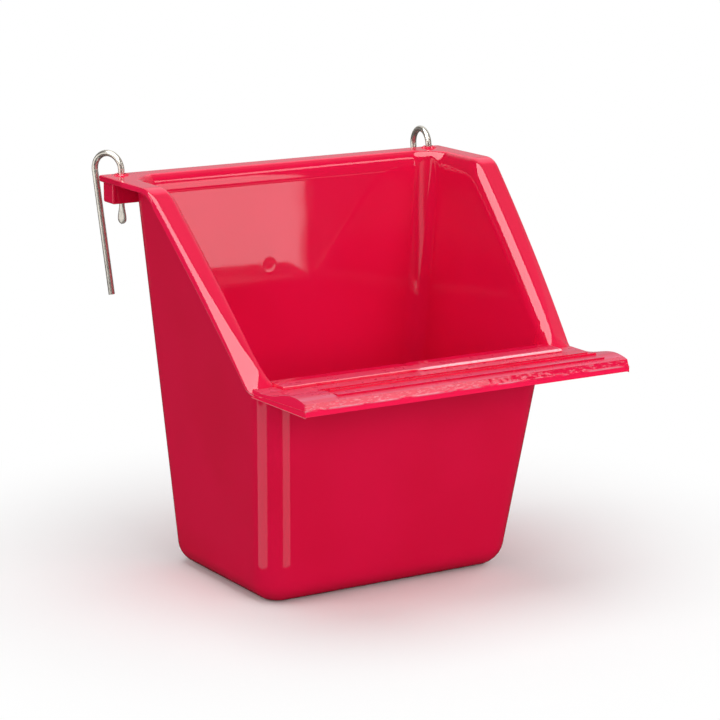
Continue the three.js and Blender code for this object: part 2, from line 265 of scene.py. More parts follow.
# Painted highlights: a pale line on the front rim's chamfer, stronger right of the nick, and one on the
# downward-facing lower edge of the lip beside the cup.
def painted_highlight_lines(tree, x, y, upward, beside_cup):
    on_edge = times(tree, ease(tree, y, *CHAMFER_HIGHLIGHT_REAR), ease(tree, y, *CHAMFER_HIGHLIGHT_FRONT))
    slanted = times(tree, *(ease(tree, upward, *span) for span in SLANTED_FACE))
    lit_chamfer = times(tree, on_edge, slanted, ease(tree, x, *CHAMFER_HIGHLIGHT_GROWS))
    undercut = times(tree, *(ease(tree, upward, *span) for span in UNDERCUT_FACE))
    lip_highlight = times(tree, beside_cup, undercut, ease(tree, y, *LIP_HIGHLIGHT_GROWS))
    return sums(tree, "MAXIMUM", lit_chamfer, lip_highlight)


print("Bevel scuffs start", 1000 * BURR_FOOT[0], "mm above the base")

# %% Red plastic finish
ALONG_PERCH = (0.25, 1.0, 1.0)
UP_THE_WALLS = (1.0, 1.0, 0.12)
DRIFT_GRAIN = (28, 2)
DRIFT_SPAN = (0.35, 0.65)
GLOSS_GRAIN = (350, 1)
GLOSS_SPAN = (0.3, 0.7)
GLOSS = (0.03, 0.06)
PERCH_MATT = 0.24
SCUFF_MATT = 0.1
SCUFF_DEPTH = 0.4
SCUFF_GRAIN = (2400, 2)
SWIM_GRAIN = (45, 1)
BUMP_STRENGTH = 0.15
BUMP_DEPTH = 0.0004


def red_plastic():
    finish, tree, shader, place = new_finish("red_plastic")
    x, y, z = parts_of(tree, place)
    upward = parts_of(tree, add(tree, "ShaderNodeNewGeometry").outputs["Normal"])[2]
    along = add(tree, "ShaderNodeMapping", {"Vector": place, "Scale": ALONG_PERCH}).outputs[0]
    upright = add(tree, "ShaderNodeMapping", {"Vector": place, "Scale": UP_THE_WALLS}).outputs[0]
    level = ease(tree, upward, *LEVEL_FACE)
    on_perch = times(tree, ease(tree, y, PERCH_STARTS, PERCH_FULLY), level)
    painted_flange_light = times(tree, ease(tree, z, *FLANGE_TOP), level)
    beside_cup, thin = paint_edge_light(tree, x, y, upward)
    scuffs_and_highlight = bevel_scuffs_and_highlight(tree, y, z, along)

    drift = ease(tree, grain(tree, place, *DRIFT_GRAIN), *DRIFT_SPAN)
    colour = blend_colours(tree, drift, CRIMSON, DEEP_CRIMSON)
    # Painted light: thin edges and the level flange top turn a lighter, glowing crimson.
    colour = blend_colours(tree, sums(tree, "MAXIMUM", thin, painted_flange_light), colour, PAINTED_GLOW)
    # Perch tops turn pale pink: partly wear, partly painted sheen.
    colour = blend_colours(tree, times(tree, on_perch, perch_sheen_and_wear(tree, y, along)), colour, SHEEN_AND_WEAR)
    # Painted highlights on the front rim's chamfer and the lip's lower edge.
    colour = blend_colours(tree, painted_highlight_lines(tree, x, y, upward, beside_cup), colour, PAINTED_HIGHLIGHT)
    # Pale scuffs on the bevel and a painted highlight along its lower edge.
    colour = blend_colours(tree, scuffs_and_highlight, colour, SCUFFS_AND_HIGHLIGHT)
    tree.links.new(colour, shader.inputs["Base Color"])

    gloss = ease(tree, grain(tree, upright, *GLOSS_GRAIN), *GLOSS_SPAN, *GLOSS)
    matt = sums(tree, "MULTIPLY_ADD", on_perch, PERCH_MATT, gloss)
    tree.links.new(sums(tree, "MULTIPLY_ADD", scuffs_and_highlight, SCUFF_MATT, matt), shader.inputs["Roughness"])
    torn = times(tree, scuffs_and_highlight, grain(tree, place, *SCUFF_GRAIN), SCUFF_DEPTH)
    height = sums(tree, "ADD", grain(tree, place, *SWIM_GRAIN), torn)
    bump = add(tree, "ShaderNodeBump", {
        "Strength": BUMP_STRENGTH, "Distance": BUMP_DEPTH, "Height": height})
    tree.links.new(bump.outputs["Normal"], shader.inputs["Normal"])
    return finish


plastic = red_plastic()
print("Finish:", plastic.name, len(plastic.node_tree.nodes), "nodes")

# %% [markdown]
# ## The nickel wire
#
# The hooks are drawn steel wire with a thin nickel plate. The plate is a little yellow, dulls where it
# is touched and carries fine drawing marks, so colour and roughness both vary in patches. It isn't a
# perfect mirror: one fifth of it is left matt, which keeps the wire grey, not black, where it faces the
# dark side of a studio.

# %% Nickel wire finish
NICKEL = (0.70, 0.66, 0.58, 1)
DULL_NICKEL = (0.58, 0.55, 0.49, 1)
PATCH_GRAIN = (260, 4, 0.6)
PATCH_SPAN = (0.4, 0.65)
MIRROR_SHARE = 0.8
MARK_GRAIN = (1900, 3)
MARK_SPAN = (0.3, 0.7)
WIRE_GLOSS = (0.16, 0.24)


def nickel_wire():
    finish, tree, shader, place = new_finish("nickel_wire")
    patches = ease(tree, grain(tree, place, *PATCH_GRAIN), *PATCH_SPAN)
    tree.links.new(blend_colours(tree, patches, NICKEL, DULL_NICKEL), shader.inputs["Base Color"])
    shader.inputs["Metallic"].default_value = MIRROR_SHARE
    marks = grain(tree, place, *MARK_GRAIN)
    tree.links.new(ease(tree, marks, *MARK_SPAN, *WIRE_GLOSS), shader.inputs["Roughness"])
    return finish


nickel = nickel_wire()
print("Finish:", nickel.name, len(nickel.node_tree.nodes), "nodes")

# %% [markdown]
# ## The cup's walls
#
# The cup is a rounded rectangle in plan whose four walls lean outwards, so that it slides off its
# mould core: the front leans most, the back hardly at all. Sizes are in millimetres, as in the CAD
# model. Every wall point comes from one rule: two shares say where between the corner centres the
# point stands, and a direction says which way is outwards there. These four numbers are a station.

# %% Wall rule
MM = 0.001
HEIGHT = 100.0
BASE_WIDTH = 71.2
BASE_DEPTH = 50.0
SIDE_DRAFT = 0.098
FRONT_DRAFT = 0.172
BACK_DRAFT = 0.02
WALL = 2.0
FLOOR = 2.2
CORNER_RADIUS = 7.0
BASE_EDGE = 5.6
FLOOR_EDGE = BASE_EDGE - WALL


def half_width(z):
    return BASE_WIDTH / 2 + SIDE_DRAFT * z


def front_at(z):
    return -BASE_DEPTH / 2 - FRONT_DRAFT * z


def back_at(z):
    return BASE_DEPTH / 2 + BACK_DRAFT * z


def wall_point(station, z, inset):
    across, along, out_x, out_y = station
    reach = CORNER_RADIUS - inset
    middle = (front_at(z) + back_at(z)) / 2
    half_depth = (back_at(z) - front_at(z)) / 2
    x = across * (half_width(z) - CORNER_RADIUS) + reach * out_x
    y = middle + along * (half_depth - CORNER_RADIUS) + reach * out_y
    return np.array([x, y, z])


print("Cup at the top:", 2 * half_width(HEIGHT), "mm wide")

# %% [markdown]
# ## The rim seen from the side
#
# The rim is level at the back, turns down over a round shoulder and runs to the perch in a slope that
# bows out very slightly. The bend could be drawn by hand as a curve. Working it out from the shoulder
# radius and the bow keeps it true to the CAD model, and gives the slope's angle at every place, which
# the flange's thickness needs. Each row holds y, z, the angle, and how far the shoulder has turned.

# %% Rim line
PERCH_UNDERSIDE = 56.4
PERCH_REAR = 1.9
BACK_OVERHANG = 5.5
LEVEL_LENGTH = 27.0
SHOULDER_RADIUS = 8.0
SLOPE_BOW = 0.6
FOOT_REACH = 2.0
RUN_ON = 6.0
SHOULDER_ROWS = 30
SLOPE_ROWS = 50

rim_back = back_at(HEIGHT) + BACK_OVERHANG
slope_start = rim_back - LEVEL_LENGTH
perch_rear_top = PERCH_UNDERSIDE + PERCH_REAR
slope_foot = front_at(PERCH_UNDERSIDE) - FOOT_REACH


def rim_line():
    fall = np.array([slope_foot - slope_start, perch_rear_top - HEIGHT])
    chord = np.linalg.norm(fall)
    chord_angle = math.atan2(-fall[1], -fall[0])
    bow_angle = math.atan(4 * SLOPE_BOW / chord)
    turn = np.linspace(0, chord_angle - bow_angle, SHOULDER_ROWS)
    shoulder_reach = SHOULDER_RADIUS * math.tan((chord_angle - bow_angle) / 2)
    rows = [(rim_back + RUN_ON, HEIGHT, 0.0, 0.0)]
    for angle in turn:
        y = slope_start + shoulder_reach - SHOULDER_RADIUS * math.sin(angle)
        z = HEIGHT - SHOULDER_RADIUS * (1 - math.cos(angle))
        rows.append((y, z, angle, angle / turn[-1]))
    for share in np.linspace(shoulder_reach / chord, 1, SLOPE_ROWS)[1:]:
        bow = 4 * SLOPE_BOW * share * (1 - share)
        y = slope_start + fall[0] * share - bow * math.sin(chord_angle)
        z = HEIGHT + fall[1] * share + bow * math.cos(chord_angle)
        rows.append((y, z, chord_angle + bow_angle * (2 * share - 1), 1.0))
    y, z, angle, done = rows[-1]
    rows.append((y - RUN_ON, z - RUN_ON * math.tan(angle), angle, done))
    return np.array(rows)[::-1]


rim_rows = rim_line()


def rim_height(y):
    return np.interp(y, rim_rows[:, 0], rim_rows[:, 1])


def rim_angle(y):
    return np.interp(y, rim_rows[:, 0], rim_rows[:, 2])


def slope_share(y):
    return np.interp(y, rim_rows[:, 0], rim_rows[:, 3])


print("Rim falls from", HEIGHT, "to", round(float(rim_height(slope_foot)), 2), "mm")

# %% [markdown]
# ## The flange in plan
#
# Seen from above the rim's flange is a rectangle that narrows along the slope, with small round back
# corners. Its width at any place is found by sending a ray outwards from the mouth to this outline.

# %% Flange outline
FLANGE_BACK = 100.8
FLANGE_FRONT = 91.6
FLANGE_CORNER = 0.6
FLANGE_CORNER_POINTS = 9
SUNK_FOOT = 0.9
SUNK_TAPER = 0.08
NEARLY_ZERO = 1e-9
EDGE_SLACK = 1e-6


def flange_outline():
    back, front = FLANGE_BACK / 2, FLANGE_FRONT / 2
    right = [(front - SUNK_TAPER, slope_foot - SUNK_FOOT), (front, slope_foot), (back, slope_start)]
    for angle in np.radians(np.linspace(0, 90, FLANGE_CORNER_POINTS)):
        x = back - FLANGE_CORNER * (1 - math.cos(angle))
        y = rim_back - FLANGE_CORNER * (1 - math.sin(angle))
        right.append((x, y))
    left = [(-x, y) for x, y in reversed(right)]
    return np.array(right + left)


outline = flange_outline()


def reach_to_outline(start, out):
    edge = np.roll(outline, -1, axis=0) - outline
    gap = outline - start
    cross = out[0] * edge[:, 1] - out[1] * edge[:, 0]
    cross = np.where(np.abs(cross) < NEARLY_ZERO, NEARLY_ZERO, cross)
    distance = (gap[:, 0] * edge[:, 1] - gap[:, 1] * edge[:, 0]) / cross
    share = (gap[:, 0] * out[1] - gap[:, 1] * out[0]) / cross
    return distance[(share > -EDGE_SLACK) & (share < 1 + EDGE_SLACK) & (distance > 0)].min()


overhang = reach_to_outline(np.array([half_width(HEIGHT), slope_start]), np.array([1.0, 0.0]))
print("Flange overhang where the slope starts:", round(overhang, 2), "mm")

# %% [markdown]
# ## One section through wall and rim
#
# Cut anywhere, the moulding shows the same section: floor, inner wall, a soft flare onto the flange, a
# rounded outer edge with a small lip below, the underside, the outer wall and the rounded base. The
# cup could be made with a solidified and bevelled box, but the flare, the edge and the lip all change
# along the rim: the outer edge widens into a chamfer towards the foot of the slope, and the flare is
# small in the back corners. So each section is drawn point by point, and the sections are skinned
# afterwards. A round edge is a conic: it leaves one face and arrives on the next without a crease, and
# a small weight flattens it to a chamfer.

# %% Edges of the rim
FLANGE_THICKNESS = 1.4
LEVEL_LIP = 1.55
LIP_DEPTH = 2.4
FLARE_REACH = 2.6
FLARE_DROP = 5.0
FLARE_SHARE = 0.45
CORNER_FLARE = 0.35
LEVEL_EDGE = (0.45, 0.25)
SHOULDER_EDGE = (0.8, 0.37)
FOOT_EDGE = (5.0, 2.33)
EDGE_GROWTH = 3
ROUND_WEIGHT = math.cos(math.pi / 4)
SLOPE_WEIGHT = 0.08
LEAST_UNDER = 57.05
LEAST_LIP = 56.9


def conic(start, corner, end, count, weight=ROUND_WEIGHT):
    part = np.linspace(0, 1, count)[:, None]
    weights = np.hstack([(1 - part) ** 2, 2 * weight * part * (1 - part), part ** 2])
    return weights @ np.array([start, corner, end]) / weights.sum(axis=1, keepdims=True)


def flare_reach(reach):
    return min(FLARE_REACH, FLARE_SHARE * reach)


def flare_kept(station):
    across, along, out_x, out_y = station
    if along != 1:
        return 1
    return 1 - (1 - CORNER_FLARE) * abs(2 * out_x * out_y)


def edge_rounding(y):
    share = slope_share(y)
    run = min(max((slope_start - y) / (slope_start - slope_foot), 0), 1)
    slope = np.array(SHOULDER_EDGE) + (np.array(FOOT_EDGE) - SHOULDER_EDGE) * run ** EDGE_GROWTH
    width, drop = np.array(LEVEL_EDGE) + (slope - LEVEL_EDGE) * share
    return width, drop, ROUND_WEIGHT + (SLOPE_WEIGHT - ROUND_WEIGHT) * share


def under_height(y):
    thickness = FLANGE_THICKNESS / math.cos(rim_angle(y))
    return max(rim_height(y) - thickness, min(rim_height(y), LEAST_UNDER))


def lip_height(y):
    depth = LEVEL_LIP + (LIP_DEPTH - LEVEL_LIP) * slope_share(y)
    return max(rim_height(y) - depth / math.cos(rim_angle(y)), min(rim_height(y), LEAST_LIP))


print("Edge width and drop at the foot:", [round(float(v), 2) for v in edge_rounding(slope_foot)[:2]], "mm")

# %% Rim section
LIP_WIDTH = 1.6
LIP_ROUND = 0.8
LIP_SHARE = 0.25
EDGE_SHARE = 0.58
DROP_SHARE = 0.7
UNDER_FILLET = 0.8
MOUTH_BOTTOM = 58.45
MOUTH_SEARCH = 10
RING_SHARES = (0.2, 0.45, 0.7)
WALL_ROWS = 20
FLARE_POINTS = 14
TOP_POINTS = 6
EDGE_POINTS = 10
BASE_POINTS = 8
FILLET_POINTS = 5
HALVINGS = 50


def mouth_height(station):
    low, high = PERCH_UNDERSIDE - MOUTH_SEARCH, HEIGHT
    for step in range(HALVINGS):
        middle = (low + high) / 2
        if rim_height(wall_point(station, middle, WALL)[1]) > middle:
            low = middle
        else:
            high = middle
    return high


def wall_run(station, inset, bottom, top):
    return [wall_point(station, z, inset) for z in np.linspace(bottom, top, WALL_ROWS)[1:]]


def edge_run(station, inset, bottom, radius):
    pairs = conic((inset + radius, bottom), (inset, bottom), (inset, bottom + radius), BASE_POINTS)
    return [wall_point(station, z, drawn_in) for drawn_in, z in pairs]


def spokes(centre, edge):
    return [centre + share * (edge - centre) for share in RING_SHARES]


def rim_section(station):
    top = mouth_height(station)
    mouth = wall_point(station, top, WALL)
    out = np.array(station[2:])
    reach = reach_to_outline(mouth[:2], out)

    def on_rim(distance, height=rim_height):
        x, y = mouth[:2] + out * distance
        return np.array([x, y, height(y)])

    # Floor, inner wall and flare.
    floor_edge = edge_run(station, WALL, FLOOR, FLOOR_EDGE)
    floor_middle = np.array([0, (front_at(FLOOR) + back_at(FLOOR)) / 2, FLOOR])
    points = spokes(floor_middle, floor_edge[0]) + floor_edge
    kept = flare_kept(station)
    flare = kept * flare_reach(reach)
    flare_start = top - min(kept * FLARE_DROP, top - MOUTH_BOTTOM)
    points += wall_run(station, WALL, FLOOR + FLOOR_EDGE, flare_start)
    points += list(conic(points[-1], mouth, on_rim(flare), FLARE_POINTS))[1:]

    # Flange top, outer edge and lip.
    edge, lip = on_rim(reach), on_rim(reach, lip_height)
    lip_face = edge[2] - lip[2]
    rounding, drop, weight = edge_rounding(edge[1])
    edge_start = reach - min(rounding, EDGE_SHARE * reach)
    points += [on_rim(distance) for distance in np.linspace(flare, edge_start, TOP_POINTS)[1:]]
    dropped = edge - [0, 0, min(drop, DROP_SHARE * lip_face)]
    points += list(conic(points[-1], edge, dropped, EDGE_POINTS, weight))[1:]
    lip_round = min(LIP_ROUND, LIP_SHARE * lip_face)
    lip_start, lip_end = lip + [0, 0, lip_round], on_rim(reach - lip_round, lip_height)
    points += list(conic(lip_start, lip, lip_end, FILLET_POINTS))
    points += [on_rim(reach - LIP_WIDTH, height) for height in (lip_height, under_height)]

    # Underside, outer wall and base.
    under = under_height(wall_point(station, top, 0)[1])
    corner = wall_point(station, under, 0)
    wall_reach = (corner[:2] - mouth[:2]) @ out
    foot = wall_point(station, under - UNDER_FILLET, 0)
    points += list(conic(on_rim(wall_reach + UNDER_FILLET, under_height), corner, foot, FILLET_POINTS))
    points += wall_run(station, 0, under - UNDER_FILLET, BASE_EDGE)
    points += edge_run(station, 0, 0, BASE_EDGE)[::-1][1:]
    return points + spokes(np.zeros(3), points[-1])[::-1]


print("Points in one section:", len(rim_section((1, 0, 1, 0))))

# %% [markdown]
# ## Skinning the cup
#
# The sections go once round the cup. They stand closer together over the shoulder and where the
# flange turns its back corners, because the shape changes fastest there. Neighbouring sections are
# joined by quads, ring by ring, and two caps close the ends. A cap can be one flat face, a ladder of
# quads between the two sides of the ring, which suits an end that isn't flat, or a fan around a point.

# %% Stations round the cup
SHOULDER_SHARES = (0.36, 0.62)
SIDE_COUNTS = (34, 30, 12)
REAR_TURN = ((0, 40, 9), (41.5, 51.5, 9), (53, 90, 8))
FRONT_TURN = (-90, 0, 15)
BACK_COUNT = 41
FRONT_COUNT = 31


def corner_stations(along, degrees):
    angles = np.radians(degrees)[1:-1]
    return [(1, along, math.cos(angle), math.sin(angle)) for angle in angles]


def stations_around():
    before = np.linspace(-1, SHOULDER_SHARES[0], SIDE_COUNTS[0])
    over = np.linspace(*SHOULDER_SHARES, SIDE_COUNTS[1])[1:]
    behind = np.linspace(SHOULDER_SHARES[1], 1, SIDE_COUNTS[2])[1:]
    side = [(1, share, 1, 0) for share in np.concatenate([before, over, behind])]
    rear = corner_stations(1, np.concatenate([np.linspace(*turn) for turn in REAR_TURN]))
    right = corner_stations(-1, np.linspace(*FRONT_TURN)) + side + rear
    back = [(share, 1, 0, 1) for share in np.linspace(1, -1, BACK_COUNT)]
    left = [(-across, along, -out_x, out_y) for across, along, out_x, out_y in reversed(right)]
    ahead = [(share, -1, 0, -1) for share in np.linspace(-1, 1, FRONT_COUNT)]
    return right + back + left + ahead


print("Sections round the cup:", len(stations_around()))

# %% Cup and flange
SAME_POINT = 1e-8


def new_piece(name, points, faces):
    mesh = bpy.data.meshes.new(name)
    mesh.from_pydata((np.asarray(points, float) * MM).tolist(), [], faces)
    work = bmesh.new()
    work.from_mesh(mesh)
    bmesh.ops.remove_doubles(work, verts=work.verts, dist=SAME_POINT)
    bmesh.ops.recalc_face_normals(work, faces=work.faces)
    work.to_mesh(mesh)
    work.free()
    piece = bpy.data.objects.new(name, mesh)
    scene.collection.objects.link(piece)
    return piece


def skin(name, rings, first_cap="flat", last_cap="flat"):
    count, total = len(rings[0]), len(rings)
    points = [point for ring in rings for point in ring]
    faces = []
    for start in range(0, (total - 1) * count, count):
        for i in range(count):
            a, b = start + i, start + (i + 1) % count
            faces.append((a, b, b + count, a + count))
    for cap, start in ((first_cap, 0), (last_cap, (total - 1) * count)):
        end = start + count - 1
        if not isinstance(cap, str):
            faces += [(start + i, start + (i + 1) % count, len(points)) for i in range(count)]
            points.append(cap)
        elif cap == "ladder":
            faces += [(start + i, start + i + 1, end - 1 - i, end - i) for i in range(count // 2 - 1)]
        else:
            faces.append(tuple(range(start, end + 1)))
    return new_piece(name, points, faces)


sections = np.array([rim_section(station) for station in stations_around()])
rings = sections.transpose(1, 0, 2)
bowl = skin("feeder_bowl", rings, rings[0].mean(axis=0), rings[-1].mean(axis=0))
print("Cup skin:", len(bowl.data.polygons), "faces")

# %% [markdown]
# ## Opening the mouth
#
# In front the rim doesn't run across: the two side flanges keep straight on to the perch, and the front
# wall stops low, so that an animal can reach in. A tool with the shape of that opening is cut out of the
# cup. Its sides carry on the inner wall and its flare, so the cut starts without a step. Two cheeks first
# fill the hollow under the foot of each side flange, just below its surface, so that the cut meets solid
# plastic there.

# %% Mouth tool
MOUTH_FRONT = -38.2
MOUTH_BACKSET = 0.25
MOUTH_MARGIN = 0.6
MOUTH_ROWS = 48
MOUTH_WALL_POINTS = 6
ABOVE = 5.0
JUST_ABOVE = 0.02


def mouth_profile(y):
    top = float(rim_height(y))
    mouth = half_width(top) - WALL
    beside = np.array([mouth, max(y, slope_foot)])
    flare = flare_reach(reach_to_outline(beside, np.array([1.0, 0.0])))
    start = max(top - FLARE_DROP, MOUTH_BOTTOM)
    side = [(half_width(z) - WALL, z) for z in np.linspace(MOUTH_BOTTOM, start, MOUTH_WALL_POINTS)]
    curve = conic(side[-1], (mouth, top), (mouth + flare, top), FLARE_POINTS)
    side += [tuple(point) for point in curve[1:]]
    side += [(mouth + flare + MOUTH_MARGIN, top + rise) for rise in (JUST_ABOVE, ABOVE)]
    side = [(x, max(z, MOUTH_BOTTOM)) for x, z in side]
    return [(x, y, z) for x, z in side] + [(-x, y, z) for x, z in reversed(side)]


corner_station = (1, -1, 1, 0)
mouth_rear = wall_point(corner_station, mouth_height(corner_station), WALL)[1] - MOUTH_BACKSET
mouth_ys = np.linspace(mouth_rear, MOUTH_FRONT, MOUTH_ROWS)
mouth_tool = skin("mouth_tool", [mouth_profile(y) for y in mouth_ys])
print("Mouth opens from y =", round(mouth_rear, 2), "to", MOUTH_FRONT, "mm")

# %% Cheeks
CHEEK_REAR = -32.4
CHEEK_FRONT = -37.2
CHEEK_COVERS = {38.6: 0.4, 42.2: 0.4, 44.4: 1.9}
CHEEK_LEAST = 0.3
CHEEK_OVER_LIP = 0.1
CHEEK_DEPTH = 0.8
CHEEK_ROWS = 8


def cheek(side):
    rings = []
    for x, cover in CHEEK_COVERS.items():
        top, bottom = [], []
        for y in np.linspace(CHEEK_REAR, CHEEK_FRONT, CHEEK_ROWS):
            under = min(lip_height(y) + CHEEK_OVER_LIP, rim_height(y) - CHEEK_DEPTH)
            bottom.append((side * x, y, under))
            top.append((side * x, y, max(rim_height(y) - cover, under + CHEEK_LEAST)))
        rings.append(top + bottom[::-1])
    return skin("cheek", rings, "ladder", "ladder")


cheeks = [cheek(side) for side in (-1, 1)]
print("Cheeks:", [len(piece.data.polygons) for piece in cheeks], "faces")

# %% [markdown]
# ## The perch
#
# A step runs across the front for birds to stand on. Below it is a thin plate with rounded edges, and on
# the plate lies a low swell, level behind, highest near the front and rounded off to a rough bevel. The
# plate stands out by a hair all round, which draws the fine line along the front and the ends. Behind,
# both draw in a little towards the cup.

# %% Perch rules
PERCH_REACH = 26.0
PERCH_FRONT_WIDTH = 90.9
PERCH_REAR_WIDTH = 91.5
PERCH_LEVEL = 5.6
CROWN = 3.9
CROWN_SETBACK = 5.6
NOSE = 2.9
FACE_HEIGHT = 1.65
FACE_BEVEL = 0.7
PERCH_REAR_Y = -34.4
TUCK_START = -36.4
REAR_TUCK = 3.4

perch_front = front_at(PERCH_UNDERSIDE) - PERCH_REACH
crown_y = perch_front + CROWN_SETBACK
swell_start = slope_foot - PERCH_LEVEL
nose_y = perch_front + FACE_BEVEL
face_top = PERCH_UNDERSIDE + FACE_HEIGHT


def perch_top(y):
    if y >= crown_y:
        part = min(max((swell_start - y) / (swell_start - crown_y), 0), 1)
        return perch_rear_top + (CROWN - PERCH_REAR) * part * part * (3 - 2 * part)
    part = (crown_y - y) / (crown_y - perch_front)
    return PERCH_UNDERSIDE + CROWN - (CROWN - NOSE) * part * part


def perch_half_width(y):
    share = (y - perch_front) / (PERCH_REAR_Y - perch_front)
    tucked = max(y - TUCK_START, 0) / (PERCH_REAR_Y - TUCK_START)
    width = PERCH_FRONT_WIDTH + (PERCH_REAR_WIDTH - PERCH_FRONT_WIDTH) * share
    return width / 2 - REAR_TUCK * tucked


print("Perch front at y =", round(perch_front, 2), "mm, crown at z =", PERCH_UNDERSIDE + CROWN, "mm")

# %% Perch plate
END_HEIGHT = 0.9
PLATE_ROUND = 0.15
PLATE_END_RINGS = 4


def plate_profile(inset):
    low, high, end = PERCH_UNDERSIDE + inset, face_top - inset, PERCH_UNDERSIDE + END_HEIGHT - inset
    tip, rear, r = perch_front + inset, PERCH_REAR_Y, PLATE_ROUND
    points = [(rear, low), (TUCK_START, low)]
    points += [tuple(point) for point in conic((tip + r, low), (tip, low), (tip, low + r), FILLET_POINTS)]
    points += [tuple(point) for point in conic((tip, high - r), (tip, high), (tip + r, high), FILLET_POINTS)]
    return points + [(TUCK_START, end), (rear, end)]


def plate():
    right = []
    for inset, drawn_in in conic((PLATE_ROUND, 0), (0, 0), (0, PLATE_ROUND), PLATE_END_RINGS)[::-1]:
        right.append([(perch_half_width(y) - drawn_in, y, z) for y, z in plate_profile(inset)])
    left = [[(-x, y, z) for x, y, z in ring] for ring in reversed(right)]
    return skin("perch_plate", right + left, "ladder", "ladder")


perch_pieces = [plate()]
print("Perch plate:", len(perch_pieces[0].data.polygons), "faces")

# %% Perch swell
SWELL_INSET = 0.2
SWELL_ROUND = 0.15
SWELL_RINGS = 221
SWELL_SUNK = 0.4
SWELL_LEAST = 0.1
SWELL_BACKSET = 0.3
BEVEL_SETBACK = 0.04
BEVEL_POINTS = 6
BEVEL_SLACK = 0.01
ROUGHNESS = 0.07
ROUGH_RISE = 0.5
ROUGH_SCALE = (0.9, 3.0, 3.0)


def swell_profile(sink):
    top = []
    for part in np.linspace(0, 1, BEVEL_POINTS)[:-1]:
        y = perch_front + BEVEL_SETBACK + (FACE_BEVEL - BEVEL_SETBACK) * part
        top.append((y, face_top + (perch_top(nose_y) - face_top) * part))
    stretches = ((nose_y, crown_y, 10), (crown_y, swell_start, 24), (swell_start, TUCK_START, 5))
    ys = np.concatenate([[nose_y]] + [np.linspace(*stretch)[1:] for stretch in stretches] + [[PERCH_REAR_Y]])
    top += [(y, perch_top(y)) for y in ys]
    low = PERCH_UNDERSIDE + SWELL_SUNK
    points = [(y, max(z - sink, low + SWELL_LEAST)) for y, z in top]
    return points + [(max(y, perch_front + SWELL_BACKSET), low) for y, z in reversed(top)]


def swell_end(side):
    rings = []
    for drawn_in, sink in conic((0, SWELL_ROUND), (0, 0), (SWELL_ROUND, 0), FILLET_POINTS):
        inset = SWELL_INSET + drawn_in
        rings.append([(side * (perch_half_width(y) - inset), y, z) for y, z in swell_profile(sink)])
    return rings


def roughness_at(x, y, z):
    if not (face_top < z < perch_top(nose_y) and y < nose_y + BEVEL_SLACK):
        return 0
    return ROUGHNESS * noise.noise(Vector((x * ROUGH_SCALE[0], y * ROUGH_SCALE[1], z * ROUGH_SCALE[2])))


def swell():
    middle = []
    for stop in np.linspace(1, -1, SWELL_RINGS)[1:-1]:
        ring = []
        for y, z in swell_profile(0):
            x = stop * (perch_half_width(y) - SWELL_INSET - SWELL_ROUND)
            rough = roughness_at(x, y, z)
            ring.append((x, y + rough, z + ROUGH_RISE * rough))
        middle.append(ring)
    return skin("perch_swell", swell_end(1) + middle + swell_end(-1)[::-1], "ladder", "ladder")


perch_pieces.append(swell())
print("Perch swell:", len(perch_pieces[1].data.polygons), "faces")

# %% [markdown]
# ## The front rim
#
# A low band crosses the front of the mouth between the side flanges. Its back edge is well rounded
# towards the food. Its front edge has a narrow chamfer that is a little wavy, and a nick left of the
# middle where the plastic was trimmed. To the right of the nick the chamfer is wider, so its bright line
# is broader there; the plastic's finish also paints a highlight on the chamfer, stronger to the right.

# %% Front rim band
FRONT_RIM_RISE = 0.8
FRONT_RIM_WIDTH = 6.0
FRONT_RIM_RINGS = 261
FRONT_RIM_OVERLAP = 0.3
RIM_REAR_ROUND = 1.0
RIM_REAR_OVERLAP = 0.15
RIM_SINK = 57.0
RIM_WANDER = 0.16
WANDERS = ((0.11, 3.7, 1.0), (0.8, 9.1, 0.4))
NICK_AT = -2.0
NICK_WIDTH = 1.2
NICK_DEPTH = 0.5
NICK_DIP = 0.4
LEFT_CHAMFER = (0.12, 0.2)
RIGHT_CHAMFER = (0.32, 0.55)
CHAMFER_CHANGE = 0.6
CHAMFER_POINTS = 6
RIM_ROUND_POINTS = 8
RIM_TOP_POINTS = 5

front_rim_top = perch_rear_top + FRONT_RIM_RISE
rim_rear_y = front_at(PERCH_UNDERSIDE) + WALL - RIM_REAR_OVERLAP
rim_front_y = front_at(PERCH_UNDERSIDE) - FRONT_RIM_WIDTH
rim_half = half_width(perch_rear_top) - WALL + FRONT_RIM_OVERLAP


def wander(x):
    total = 0
    for pace, row, share in WANDERS:
        total += share * RIM_WANDER * noise.noise(Vector((x * pace, row, 0)))
    return total


def rim_band_ring(x):
    nick = NICK_DEPTH * math.exp(-((x - NICK_AT) / NICK_WIDTH) ** 2)
    right_share = 1 / (1 + math.exp(-(x - NICK_AT) / CHAMFER_CHANGE))
    wide, high = np.array(LEFT_CHAMFER) + np.subtract(RIGHT_CHAMFER, LEFT_CHAMFER) * right_share
    tip = rim_front_y + wander(x) + nick
    top = front_rim_top - NICK_DIP * nick
    rear = rim_rear_y
    level = rear - RIM_REAR_ROUND
    points = [(rear, RIM_SINK)]
    points += list(conic((rear, top - RIM_REAR_ROUND), (rear, top), (level, top), RIM_ROUND_POINTS))
    points += [(y, top) for y in np.linspace(level, tip + wide, RIM_TOP_POINTS)[1:-1]]
    points += list(conic((tip + wide, top), (tip, top), (tip, top - high), CHAMFER_POINTS, SLOPE_WEIGHT))
    points += [(tip, RIM_SINK)]
    return [(x, y, z) for y, z in points]


rim_xs = np.linspace(-rim_half, rim_half, FRONT_RIM_RINGS)
front_rim = skin("front_rim", [rim_band_ring(x) for x in rim_xs])
print("Front rim:", len(front_rim.data.polygons), "faces")

